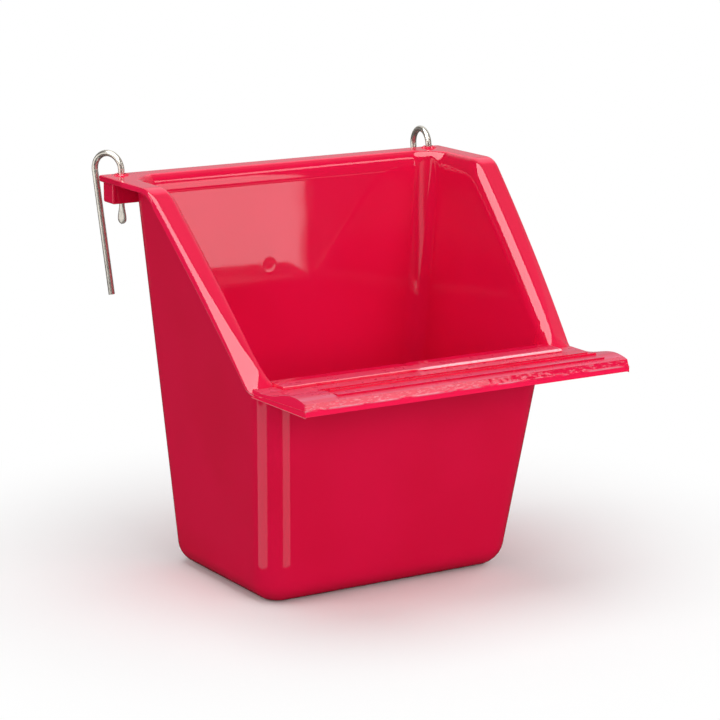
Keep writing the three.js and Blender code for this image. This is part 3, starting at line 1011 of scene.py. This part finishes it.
# %% [markdown]
# ## Grip ribs on the perch
#
# Three ribs run across the perch so that feet don't slip. Each is a long wedge that rises towards the
# front and ends in a small step. They repeat, so Geometry Nodes make them: a row of points, one bar on
# each point, and a rule that lays the bar on the swell and slants its top. The tree has named inputs for
# its sizes. The result is turned into a plain mesh, because it is joined to the moulding later.

# %% Helpers for geometry trees
def new_tree(name, inputs):
    tree = bpy.data.node_groups.new(name, "GeometryNodeTree")
    tree.interface.new_socket("Geometry", in_out="OUTPUT", socket_type="NodeSocketGeometry")
    sockets = {}
    for label in inputs:
        sockets[label] = tree.interface.new_socket(label, in_out="INPUT", socket_type="NodeSocketFloat")
    entry = tree.nodes.new("NodeGroupInput")
    return tree, entry.outputs, sockets


def vector(tree, x, y, z):
    return add(tree, "ShaderNodeCombineXYZ", {"X": x, "Y": y, "Z": z}).outputs[0]


def position(tree):
    return parts_of(tree, add(tree, "GeometryNodeInputPosition").outputs[0])


def note(tree, geometry, name, value):
    links = {"Geometry": geometry, "Name": name, "Value": value}
    return add(tree, "GeometryNodeStoreNamedAttribute", links, data_type="FLOAT", domain="POINT").outputs[0]


def recall(tree, name):
    return add(tree, "GeometryNodeInputNamedAttribute", {"Name": name}, data_type="FLOAT").outputs[0]


def end_tree(tree, geometry, finish):
    realized = add(tree, "GeometryNodeRealizeInstances", {"Geometry": geometry})
    dressed = add(tree, "GeometryNodeSetMaterial", {"Geometry": realized.outputs[0], "Material": finish})
    leave = tree.nodes.new("NodeGroupOutput")
    tree.links.new(dressed.outputs[0], leave.inputs[0])


def grow(name, tree, sockets, values):
    piece = bpy.data.objects.new(name, bpy.data.meshes.new(name))
    scene.collection.objects.link(piece)
    modifier = piece.modifiers.new("grow", "NODES")
    modifier.node_group = tree
    for label, value in values.items():
        modifier[sockets[label].identifier] = value
    grown = piece.evaluated_get(bpy.context.evaluated_depsgraph_get())
    mesh = bpy.data.meshes.new_from_object(grown)
    piece.modifiers.remove(modifier)
    piece.data = mesh
    return piece


print("Geometry helpers: new_tree, vector, position, note, recall, end_tree, grow")

# %% Ribs by Geometry Nodes
RIB_PITCH = 3.4
RIB_WIDTH = 2.8
RIB_LENGTH = 75.0
RIB_SHIFT = 2.0
RIB_SETBACK = 2.2
RIB_SINK = 0.5
RIB_STEPS = {"Front step": 0.48, "Middle step": 0.55, "Rear step": 0.4}
BAR_HEIGHT = 2.0
BAR_CUTS = (90, 8, 2)

rib_sizes = {
    "Pitch": RIB_PITCH, "Width": RIB_WIDTH, "Length": RIB_LENGTH, "Shift": RIB_SHIFT, "Sink": RIB_SINK,
    "Front": perch_front + RIB_SETBACK + RIB_WIDTH / 2,
    "Swell start": swell_start, "Crown": crown_y, "Nose run": CROWN_SETBACK,
    "Level": perch_rear_top, "Rise": CROWN - PERCH_REAR, "Fall": CROWN - NOSE, **RIB_STEPS}


def swell_rule(tree, given, y):
    swelled = ease(tree, y, given["Swell start"], given["Crown"], 0.0, given["Rise"])
    past = sums(tree, "MAXIMUM", sums(tree, "SUBTRACT", given["Crown"], y), 0.0)
    past_share = sums(tree, "DIVIDE", past, given["Nose run"])
    fallen = times(tree, past_share, past_share, given["Fall"])
    return sums(tree, "SUBTRACT", sums(tree, "ADD", given["Level"], swelled), fallen)


def rib_tree():
    tree, given, sockets = new_tree("grip_ribs", rib_sizes)
    row = add(tree, "GeometryNodeMeshLine", {
        "Count": len(RIB_STEPS), "Start Location": vector(tree, given["Shift"], given["Front"], 0),
        "Offset": vector(tree, 0, given["Pitch"], 0)})
    step = add(tree, "GeometryNodeIndexSwitch", {
        "Index": add(tree, "GeometryNodeInputIndex").outputs[0]}, data_type="FLOAT")
    step.index_switch_items.new()
    for socket, label in zip(step.inputs[1:4], RIB_STEPS):
        tree.links.new(given[label], socket)
    bar = add(tree, "GeometryNodeMeshCube", {
        "Size": vector(tree, given["Length"], given["Width"], BAR_HEIGHT),
        "Vertices X": BAR_CUTS[0], "Vertices Y": BAR_CUTS[1], "Vertices Z": BAR_CUTS[2]})
    across = sums(tree, "ADD", sums(tree, "DIVIDE", position(tree)[1], given["Width"]), 0.5)
    placed = add(tree, "GeometryNodeInstanceOnPoints", {
        "Points": note(tree, row.outputs[0], "step", step.outputs[0]),
        "Instance": note(tree, bar.outputs["Mesh"], "across", across)})
    real = add(tree, "GeometryNodeRealizeInstances", {"Geometry": placed.outputs[0]})
    x, y, z = position(tree)
    wedge = times(tree, recall(tree, "step"), sums(tree, "SUBTRACT", 1.0, recall(tree, "across")))
    on_top = sums(tree, "GREATER_THAN", z, 0.0)
    lift = times(tree, on_top, sums(tree, "ADD", wedge, given["Sink"]))
    height = sums(tree, "ADD", swell_rule(tree, given, y), sums(tree, "SUBTRACT", lift, given["Sink"]))
    laid = add(tree, "GeometryNodeSetPosition", {
        "Geometry": real.outputs[0], "Position": vector(tree, x, y, height)})
    scaled = add(tree, "GeometryNodeTransform", {"Geometry": laid.outputs[0], "Scale": (MM, MM, MM)})
    end_tree(tree, scaled.outputs[0], plastic)
    return tree, sockets


ribs = grow("grip_ribs", *rib_tree(), rib_sizes)
print("Ribs:", len(ribs.data.polygons), "faces")

# %% [markdown]
# ## Lugs and collars
#
# Under each back corner of the flange hangs a small box, the lug, with a hole for the hook's pin. Around
# the hole's top the plastic is pushed up into a ragged collar, as it is where a punch comes through. The
# collar and the tool that drills the hole are turned shapes: rows of radius and height, spun round the
# pin. The pins' places come from the joints of the CAD model.

# %% Lugs
LUG_OUTSIDE_PIN = 3.8
LUG_DEPTH = 5.6
LUG_HEIGHT = 5.4
LUG_ROUND = 0.5

pin_places = {joint["child"]: np.array(joint["pos_m"]) / MM for joint in frame["joints"]}
lug_bottom = HEIGHT - FLANGE_THICKNESS - LUG_HEIGHT


def lug(pin):
    side = math.copysign(1, pin[0])
    inner = half_width(lug_bottom) - CORNER_RADIUS
    outer = abs(pin[0]) + LUG_OUTSIDE_PIN
    left, right = sorted((side * inner, side * outer))
    rear = min(pin[1] + LUG_DEPTH / 2, rim_back)
    low = np.array([left, pin[1] - LUG_DEPTH / 2, lug_bottom])
    high = np.array([right, rear, HEIGHT - FLANGE_THICKNESS / 2])
    work = bmesh.new()
    bmesh.ops.create_cube(work, size=1)
    for vertex in work.verts:
        vertex.co = Vector((low + (high - low) * (np.array(vertex.co) + 0.5)) * MM)
    rounding = LUG_ROUND * MM
    bmesh.ops.bevel(work, geom=work.edges[:], offset=rounding, segments=3, profile=0.5, affect="EDGES")
    mesh = bpy.data.meshes.new("lug")
    work.to_mesh(mesh)
    work.free()
    piece = bpy.data.objects.new("lug", mesh)
    scene.collection.objects.link(piece)
    return piece


lugs = [lug(pin) for pin in pin_places.values()]
print("Lugs hang from", round(lug_bottom + LUG_HEIGHT, 2), "down to", round(lug_bottom, 2), "mm")

# %% Collars and holes
COLLAR_RADIUS = 1.7
COLLAR_HEIGHT = 0.5
HOLE_RADIUS = 1.1
TURNED_POINTS = 40
RAGGED = 0.3
RAGGED_SCALE = 2.1
RAGGED_SLIP = 0.2
RAGGED_SPREAD = 0.5

collar_rows = [
    (COLLAR_RADIUS + 0.3, HEIGHT - 0.6), (COLLAR_RADIUS + 0.2, HEIGHT + 0.02), (COLLAR_RADIUS, HEIGHT + 0.2),
    (COLLAR_RADIUS - 0.2, HEIGHT + 0.36), (HOLE_RADIUS - 0.4, HEIGHT + 0.3)]
hole_rows = [(HOLE_RADIUS, lug_bottom - 2), (HOLE_RADIUS, HEIGHT - 1), (HOLE_RADIUS, HEIGHT + 2)]


def turned(name, pin, rows, ragged=0.0):
    rings = []
    for radius, z in rows:
        ring = []
        for angle in np.linspace(0, 2 * math.pi, TURNED_POINTS, endpoint=False):
            cosine, sine = math.cos(angle), math.sin(angle)
            spot = Vector((RAGGED_SCALE * cosine, RAGGED_SCALE * sine, pin[0] + RAGGED_SLIP * radius))
            torn = ragged * noise.noise(spot) if z > HEIGHT else 0
            r = radius * (1 + RAGGED_SPREAD * torn)
            ring.append((pin[0] + r * cosine, pin[1] + r * sine, min(z + torn, HEIGHT + COLLAR_HEIGHT)))
        rings.append(ring)
    return skin(name, rings)


added_pieces, hole_tools = [], []
for pin, box in zip(pin_places.values(), lugs):
    added_pieces += [box, turned("collar", pin, collar_rows, RAGGED)]
    hole_tools.append(turned("hole_tool", pin, hole_rows))
print("Lug holes at x =", [float(round(pin[0], 2)) for pin in pin_places.values()], "mm")

# %% [markdown]
# ## The gate mark
#
# Inside the back wall is a small round mark of the mould's gate or pin: a disc with a low rim, which
# stands out less than a hair is thick. Its section is turned about an axis that stands out of the wall.

# %% Gate mark
GATE_PLACE = (-6.3, 74.2)
GATE_ROWS = [(2.3, -0.5), (2.25, 0.0), (2.1, 0.03), (1.9, 0.035), (1.7, 0.02), (1.4, 0.01), (0.5, 0.01)]
GATE_POINTS = 48


def gate_mark():
    across, up = GATE_PLACE
    rings = []
    for radius, rise in GATE_ROWS:
        ring = []
        for angle in np.linspace(0, 2 * math.pi, GATE_POINTS, endpoint=False):
            z = up + radius * math.sin(angle)
            ring.append((across + radius * math.cos(angle), back_at(z) - WALL - rise, z))
        rings.append(ring)
    return skin("gate_mark", rings)


added_pieces.append(gate_mark())
print("Gate mark:", 2 * GATE_ROWS[0][0], "mm across")

# %% [markdown]
# ## Joining the moulding
#
# The real bowl is one shot of plastic, so its parts become one closed mesh: the cheeks are joined on, the
# mouth is cut, then perch, front rim, ribs, lugs, collars and gate mark are joined on, and last the pin
# holes are drilled. Loose overlapping parts would render the same from far away, but would leave hidden
# faces inside the mesh. Each finished piece then stands for the CAD node of its body.

# %% One closed moulding
CREASE = math.radians(35)


def bake_modifiers(piece):
    mesh = bpy.data.meshes.new_from_object(piece.evaluated_get(bpy.context.evaluated_depsgraph_get()))
    piece.modifiers.clear()
    piece.data = mesh


def combine(target, tools, operation):
    for tool in tools:
        joint = target.modifiers.new("combine", "BOOLEAN")
        joint.operation = operation
        joint.solver = "MANIFOLD"
        joint.object = tool
    bake_modifiers(target)
    for tool in tools:
        bpy.data.objects.remove(tool)


def open_edges(mesh):
    work = bmesh.new()
    work.from_mesh(mesh)
    count = sum(1 for edge in work.edges if not edge.is_manifold)
    work.free()
    return count


def dress(piece, finish, body):
    piece.data.materials.clear()
    piece.data.materials.append(finish)
    piece.data.shade_smooth()
    piece.data.set_sharp_from_angle(angle=CREASE)
    weighting = piece.modifiers.new("settle", "WEIGHTED_NORMAL")
    weighting.keep_sharp = True
    bake_modifiers(piece)
    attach(piece, body)
    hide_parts(body)


combine(bowl, cheeks, "UNION")
combine(bowl, [mouth_tool], "DIFFERENCE")
combine(bowl, perch_pieces + [front_rim, ribs] + added_pieces, "UNION")
combine(bowl, hole_tools, "DIFFERENCE")
dress(bowl, plastic, "bowl")
print("Moulding:", len(bowl.data.polygons), "faces,", open_edges(bowl.data), "open edges")

# %% [markdown]
# ## The wire hooks
#
# Each hook is one length of wire: a pin that goes down through the lug, a round bend, and a long leg that
# leans back in. The pin's end is pressed flat into a small spade, so that it can't pull out. The wire
# follows a path, so Geometry Nodes make it: a line of points is bent by a formula, a circle is swept
# along it, and the first few millimetres are squeezed flat. Each point notes its run, the length of wire
# from the start of the bend, so that the squeeze knows where the tail is.

# %% Hook sizes
WIRE = 1.6
HOOK_SPREAD = 8.2
HOOK_LEAN = 8.1
HOOK_LEG = 31.5
HOOK_PLAY = 0.6
PIN_CLEARANCE = 0.3
TAIL_LENGTH = 6.0
TAIL_WIDTH = 2.6
TAIL_NECK = 1.5
TAIL_THICKNESS = 0.9
TAIL_END_SHARE = 0.02
HOOK_STEPS = 300
WIRE_SIDES = 24
HOOKS = {"left_hook": (COLLAR_HEIGHT + HOOK_PLAY, 117.0), "right_hook": (COLLAR_HEIGHT, 87.0)}

hook_sizes = {
    "Wire": WIRE, "Bend radius": HOOK_SPREAD / 2, "Bend angle": math.radians(180 + HOOK_LEAN),
    "Leg": HOOK_LEG, "Pin": HEIGHT + COLLAR_HEIGHT + HOOK_PLAY - lug_bottom + PIN_CLEARANCE,
    "Tail": TAIL_LENGTH - WIRE / 2, "Tail width": TAIL_WIDTH, "Tail neck": TAIL_NECK,
    "Tail thickness": TAIL_THICKNESS}
hook_place = ("Place X", "Place Y", "Place Z", "Heading")


def bent_path(tree, given, below):
    bend_length = sums(tree, "MULTIPLY", given["Bend radius"], given["Bend angle"])
    length = sums(tree, "ADD", sums(tree, "ADD", below, bend_length), given["Leg"])
    line = add(tree, "GeometryNodeCurvePrimitiveLine", {"Start": (0, 0, 0), "End": (0, 0, 1)})
    path = add(tree, "GeometryNodeResampleCurve", {"Curve": line.outputs[0], "Count": HOOK_STEPS})
    from_bend = sums(tree, "SUBTRACT", sums(tree, "MULTIPLY", position(tree)[2], length), below)
    noted = note(tree, path.outputs[0], "run", from_bend)
    run = recall(tree, "run")
    turned_by = sums(tree, "MAXIMUM", sums(tree, "DIVIDE", run, given["Bend radius"]), 0.0)
    angle = sums(tree, "MINIMUM", turned_by, given["Bend angle"])
    past = sums(tree, "MAXIMUM", sums(tree, "SUBTRACT", run, bend_length), 0.0)
    aside = sums(tree, "SUBTRACT", 1.0, sums(tree, "COSINE", angle))
    x = sums(tree, "MULTIPLY", given["Bend radius"], aside)
    x = sums(tree, "ADD", x, sums(tree, "MULTIPLY", past, sums(tree, "SINE", given["Bend angle"])))
    z = sums(tree, "MULTIPLY", given["Bend radius"], sums(tree, "SINE", angle))
    z = sums(tree, "ADD", z, sums(tree, "MULTIPLY", past, sums(tree, "COSINE", given["Bend angle"])))
    z = sums(tree, "ADD", z, sums(tree, "MINIMUM", run, 0.0))
    bent = add(tree, "GeometryNodeSetPosition", {"Geometry": noted, "Position": vector(tree, x, 0.0, z)})
    return bent.outputs[0]


print("Wire from bend to tip:", round(HOOK_SPREAD / 2 * math.radians(180 + HOOK_LEAN) + HOOK_LEG, 1), "mm")

# %% Hooks by Geometry Nodes
def flat_tail(tree, given, below, wire):
    run = recall(tree, "run")
    x, y, z = position(tree)
    neck_top = sums(tree, "ADD", sums(tree, "MULTIPLY", given["Pin"], -1.0), given["Wire"])
    neck_bottom = sums(tree, "SUBTRACT", neck_top, given["Wire"])
    half_tail = sums(tree, "MULTIPLY", given["Tail width"], 0.5)
    belly = sums(tree, "ADD", sums(tree, "MULTIPLY", below, -1.0), half_tail)
    pinch = ease(tree, run, neck_top, neck_bottom, given["Wire"], given["Tail neck"])
    spread = sums(tree, "SUBTRACT", given["Tail width"], given["Tail neck"])
    flare = ease(tree, run, neck_bottom, belly, 0.0, spread)
    wide = sums(tree, "DIVIDE", sums(tree, "ADD", pinch, flare), given["Wire"])
    short = sums(tree, "DIVIDE", sums(tree, "MAXIMUM", sums(tree, "SUBTRACT", belly, run), 0.0), half_tail)
    left_over = sums(tree, "SUBTRACT", 1.0, sums(tree, "MULTIPLY", short, short))
    round_end = sums(tree, "SQRT", sums(tree, "MAXIMUM", left_over, TAIL_END_SHARE))
    thinnest = sums(tree, "DIVIDE", given["Tail thickness"], given["Wire"])
    thin = ease(tree, run, neck_top, neck_bottom, 1.0, thinnest)
    flat_x = sums(tree, "MULTIPLY", x, sums(tree, "MULTIPLY", wide, round_end))
    flat_y = sums(tree, "MULTIPLY", y, thin)
    tail = add(tree, "GeometryNodeSetPosition", {
        "Geometry": wire, "Selection": sums(tree, "LESS_THAN", run, neck_top),
        "Position": vector(tree, flat_x, flat_y, z)})
    return tail.outputs[0]


def hook_tree():
    tree, given, sockets = new_tree("wire_hook", (*hook_sizes, *hook_place))
    below = sums(tree, "ADD", given["Pin"], given["Tail"])
    circle = add(tree, "GeometryNodeCurvePrimitiveCircle", {
        "Resolution": WIRE_SIDES, "Radius": sums(tree, "MULTIPLY", given["Wire"], 0.5)})
    swept = add(tree, "GeometryNodeCurveToMesh", {
        "Curve": bent_path(tree, given, below), "Profile Curve": circle.outputs[0], "Fill Caps": True})
    scaled = add(tree, "GeometryNodeTransform", {
        "Geometry": flat_tail(tree, given, below, swept.outputs[0]), "Scale": (MM, MM, MM),
        "Rotation": vector(tree, 0.0, 0.0, given["Heading"]),
        "Translation": vector(tree, given["Place X"], given["Place Y"], given["Place Z"])})
    end_tree(tree, scaled.outputs[0], nickel)
    return tree, sockets


wire_tree, wire_sockets = hook_tree()
for name, (lift, heading) in HOOKS.items():
    place = (pin_places[name] + [0, 0, lift]) * MM
    turn = dict(zip(hook_place, (*place, math.radians(heading))))
    hook = grow(name + "_wire", wire_tree, wire_sockets, {**hook_sizes, **turn})
    dress(hook, nickel, name)
    print(hook.name, len(hook.data.polygons), "faces,", open_edges(hook.data), "open edges")

# %% [markdown]
# ## Floor and backdrop
#
# The catalogue picture has a plain white ground. The floor is pale and catches the bowl's soft shadow.
# For the camera it turns into plain white a little way out, so that no horizon shows, and the world
# behind it is white too. The light that bounces off the floor onto the bowl is that of a mid grey floor,
# which keeps the lower walls from getting too light.
#
# Reflections get a studio of their own, because a white room would lay a pale veil over every glossy
# wall: a dark floor that turns white only far away, a dim room on the camera's side and to the left, and
# a grey backdrop behind the bowl on the right that is white higher up. The price is that the bright wire
# looks dark from some sides. The Light Path node tells the kinds of ray apart.

# %% Pale floor
FLOOR_SIZE = 12.0
WHITE = (1, 1, 1, 1)
PALE = (0.93, 0.93, 0.93, 1)
BOUNCE = (0.5, 0.5, 0.5, 1)
SHADE = (0.06, 0.06, 0.06, 1)
FADE_SEEN = (0.03, 0.14)
FADE_MIRRORED = (1.7, 2.3)
FLOOR_MATT = 0.9


def kinds_of_ray(tree):
    path = tree.nodes.new("ShaderNodeLightPath").outputs
    seen = sums(tree, "MAXIMUM", path["Is Camera Ray"], path["Is Transmission Ray"])
    return seen, path["Is Glossy Ray"]


def pale_floor():
    finish, tree, shader, place = new_finish("pale_floor")
    x, y, z = parts_of(tree, place)
    away = sums(tree, "SQRT", sums(tree, "ADD", times(tree, x, x), times(tree, y, y)))
    seen, mirrored = kinds_of_ray(tree)
    far_seen = times(tree, ease(tree, away, *FADE_SEEN), seen)
    far_mirrored = times(tree, ease(tree, away, *FADE_MIRRORED), mirrored)
    colour = blend_colours(tree, mirrored, blend_colours(tree, seen, BOUNCE, PALE), SHADE)
    tree.links.new(colour, shader.inputs["Base Color"])
    shader.inputs["Roughness"].default_value = FLOOR_MATT
    shader.inputs["Specular IOR Level"].default_value = 0.0
    glow = add(tree, "ShaderNodeEmission", {"Color": WHITE, "Strength": 1.0})
    mixed = tree.nodes.new("ShaderNodeMixShader")
    tree.links.new(sums(tree, "MAXIMUM", far_seen, far_mirrored), mixed.inputs[0])
    tree.links.new(shader.outputs[0], mixed.inputs[1])
    tree.links.new(glow.outputs[0], mixed.inputs[2])
    tree.links.new(mixed.outputs[0], tree.nodes["Material Output"].inputs["Surface"])
    return finish


half = FLOOR_SIZE / MM / 2
corners = [(-half, -half, 0), (half, -half, 0), (half, half, 0), (-half, half, 0)]
floor = new_piece("floor", corners, [(0, 1, 2, 3)])
floor.data.materials.append(pale_floor())
print("Floor is", FLOOR_SIZE, "m wide")

# %% Studio world
SKY_TOP = 0.0
SKY_SIDE = 1.02
SKY_BELOW = 0.6
ROOM = 0.06
BACKDROP = 0.45
BACKDROP_TOP = 1.0
HORIZON = (-0.05, 0.05)
SKY_SPAN = (0.0, 0.8)
TOP_SPAN = (0.3, 0.5)
TOP_BEHIND = (0.2, 0.4)
BACKDROP_STARTS = (-0.45, -0.1)
BACKDROP_LEFT = (-0.3, 0.1)


def studio_world():
    world = bpy.data.worlds.new("studio")
    world.use_nodes = True
    air = world.node_tree
    x, y, z = parts_of(air, air.nodes.new("ShaderNodeTexCoord").outputs["Generated"])
    seen, mirrored = kinds_of_ray(air)
    sky = ease(air, z, *SKY_SPAN, SKY_SIDE, SKY_TOP)
    lit = blend_numbers(air, ease(air, z, *HORIZON), SKY_BELOW, sky)
    upper = ease(air, z, *TOP_SPAN, BACKDROP, BACKDROP_TOP)
    backdrop = blend_numbers(air, ease(air, y, *TOP_BEHIND), BACKDROP, upper)
    covered = times(air, ease(air, y, *BACKDROP_STARTS), ease(air, x, *BACKDROP_LEFT))
    reflected = blend_numbers(air, covered, ROOM, backdrop)
    strength = sums(air, "MAXIMUM", seen, blend_numbers(air, mirrored, lit, reflected))
    background = air.nodes["Background"]
    air.links.new(strength, background.inputs["Strength"])
    background.inputs["Color"].default_value = WHITE
    return world


scene.world = studio_world()
print("World:", scene.world.name, len(scene.world.node_tree.nodes), "nodes")

# %% [markdown]
# ## Studio light
#
# Five soft boxes and the world light the bowl at a plain level: one box overhead, two in front and one on
# each side. The boxes are hidden from reflections. Besides the studio of the last step, the gloss shows
# cards that give no other light: a large one overhead for the pale strips on the sloping flanges, two
# small ones in front for the sheen on the back wall and its flare, one for the back corner, one for the
# edges in front, and one at the left for the wire. Two glowing cards on the floor draw the upright lines
# on the front corner. With light and gloss apart, each highlight can be set in its place without changing
# the colour of the walls.

# %% Soft boxes and cards
BOWL_MIDDLE = (0, 0, 0.055)
SOFT_BOXES = {
    "overhead": ((-0.15, 0.0, 0.95), BOWL_MIDDLE, (0.7, 0.7), 2.5),
    "front": ((0.10, -0.95, 0.35), BOWL_MIDDLE, (0.6, 0.4), 5.1),
    "front_right": ((0.45, -0.60, 0.75), BOWL_MIDDLE, (0.6, 0.6), 1.7),
    "left": ((-0.85, 0.0, 0.55), BOWL_MIDDLE, (0.6, 0.6), 2.5),
    "right": ((0.85, 0.1, 0.55), BOWL_MIDDLE, (0.6, 0.6), 1.4)}
CARDS = {
    "strip_card": ((-0.42, -0.17, 0.75), BOWL_MIDDLE, (1.05, 1.05), 6.0),
    "sheen_card": ((0.143, -0.30, 0.032), (-0.01, 0.023, 0.082), (0.085, 0.06), 3.2),
    "flare_card": ((0.143, -0.30, 0.19), (-0.01, 0.023, 0.097), (0.085, 0.13), 3.0),
    "corner_card": ((-0.20, -0.23, 0.022), (0.038, 0.020, 0.085), (0.045, 0.035), 2.5),
    "edge_card": ((0.43, -0.52, 0.57), BOWL_MIDDLE, (0.2, 0.1), 4.0),
    "wire_card": ((-0.40, 0.10, 0.09), (0.0, 0.03, 0.09), (0.5, 0.17), 1.3)}


def area_lamp(name, place, aim, size, strength, card):
    lamp = bpy.data.lights.new(name, "AREA")
    lamp.shape = "RECTANGLE"
    lamp.size, lamp.size_y = size
    lamp.energy = strength * math.pi * size[0] * size[1]
    box = bpy.data.objects.new(name, lamp)
    box.location = place
    toward = Vector(aim) - Vector(place)
    box.rotation_euler = toward.to_track_quat("-Z", "Y").to_euler()
    box.visible_camera = False
    box.visible_diffuse = not card
    box.visible_glossy = card
    scene.collection.objects.link(box)


for name, settings in SOFT_BOXES.items():
    area_lamp(name, *settings, card=False)
for name, settings in CARDS.items():
    area_lamp(name, *settings, card=True)
print("Lamps:", len(SOFT_BOXES), "soft boxes and", len(CARDS), "cards")

# %% Cards on the floor
FLOOR_CARD_RISE = 0.5
FLOOR_CARDS = {
    "left_strip_card": [(-52, -14), (-48, -28), (-120, -60), (-140, 18)],
    "front_strip_card": [(-33, -39), (-23, -40), (8, -118), (-41, -120)]}


def floor_card(name, corners):
    card = new_piece(name, [(x, y, FLOOR_CARD_RISE) for x, y in corners], [(0, 1, 2, 3)])
    card.visible_camera = False
    card.visible_diffuse = False
    card.visible_shadow = False
    glow = bpy.data.materials.new(name)
    glow.use_nodes = True
    shader = glow.node_tree.nodes["Principled BSDF"]
    shader.inputs["Base Color"].default_value = (0, 0, 0, 1)
    shader.inputs["Specular IOR Level"].default_value = 0.0
    shader.inputs["Emission Color"].default_value = WHITE
    shader.inputs["Emission Strength"].default_value = 1.0
    card.data.materials.append(glow)


for name, corners in FLOOR_CARDS.items():
    floor_card(name, corners)
print("Floor cards:", len(FLOOR_CARDS))
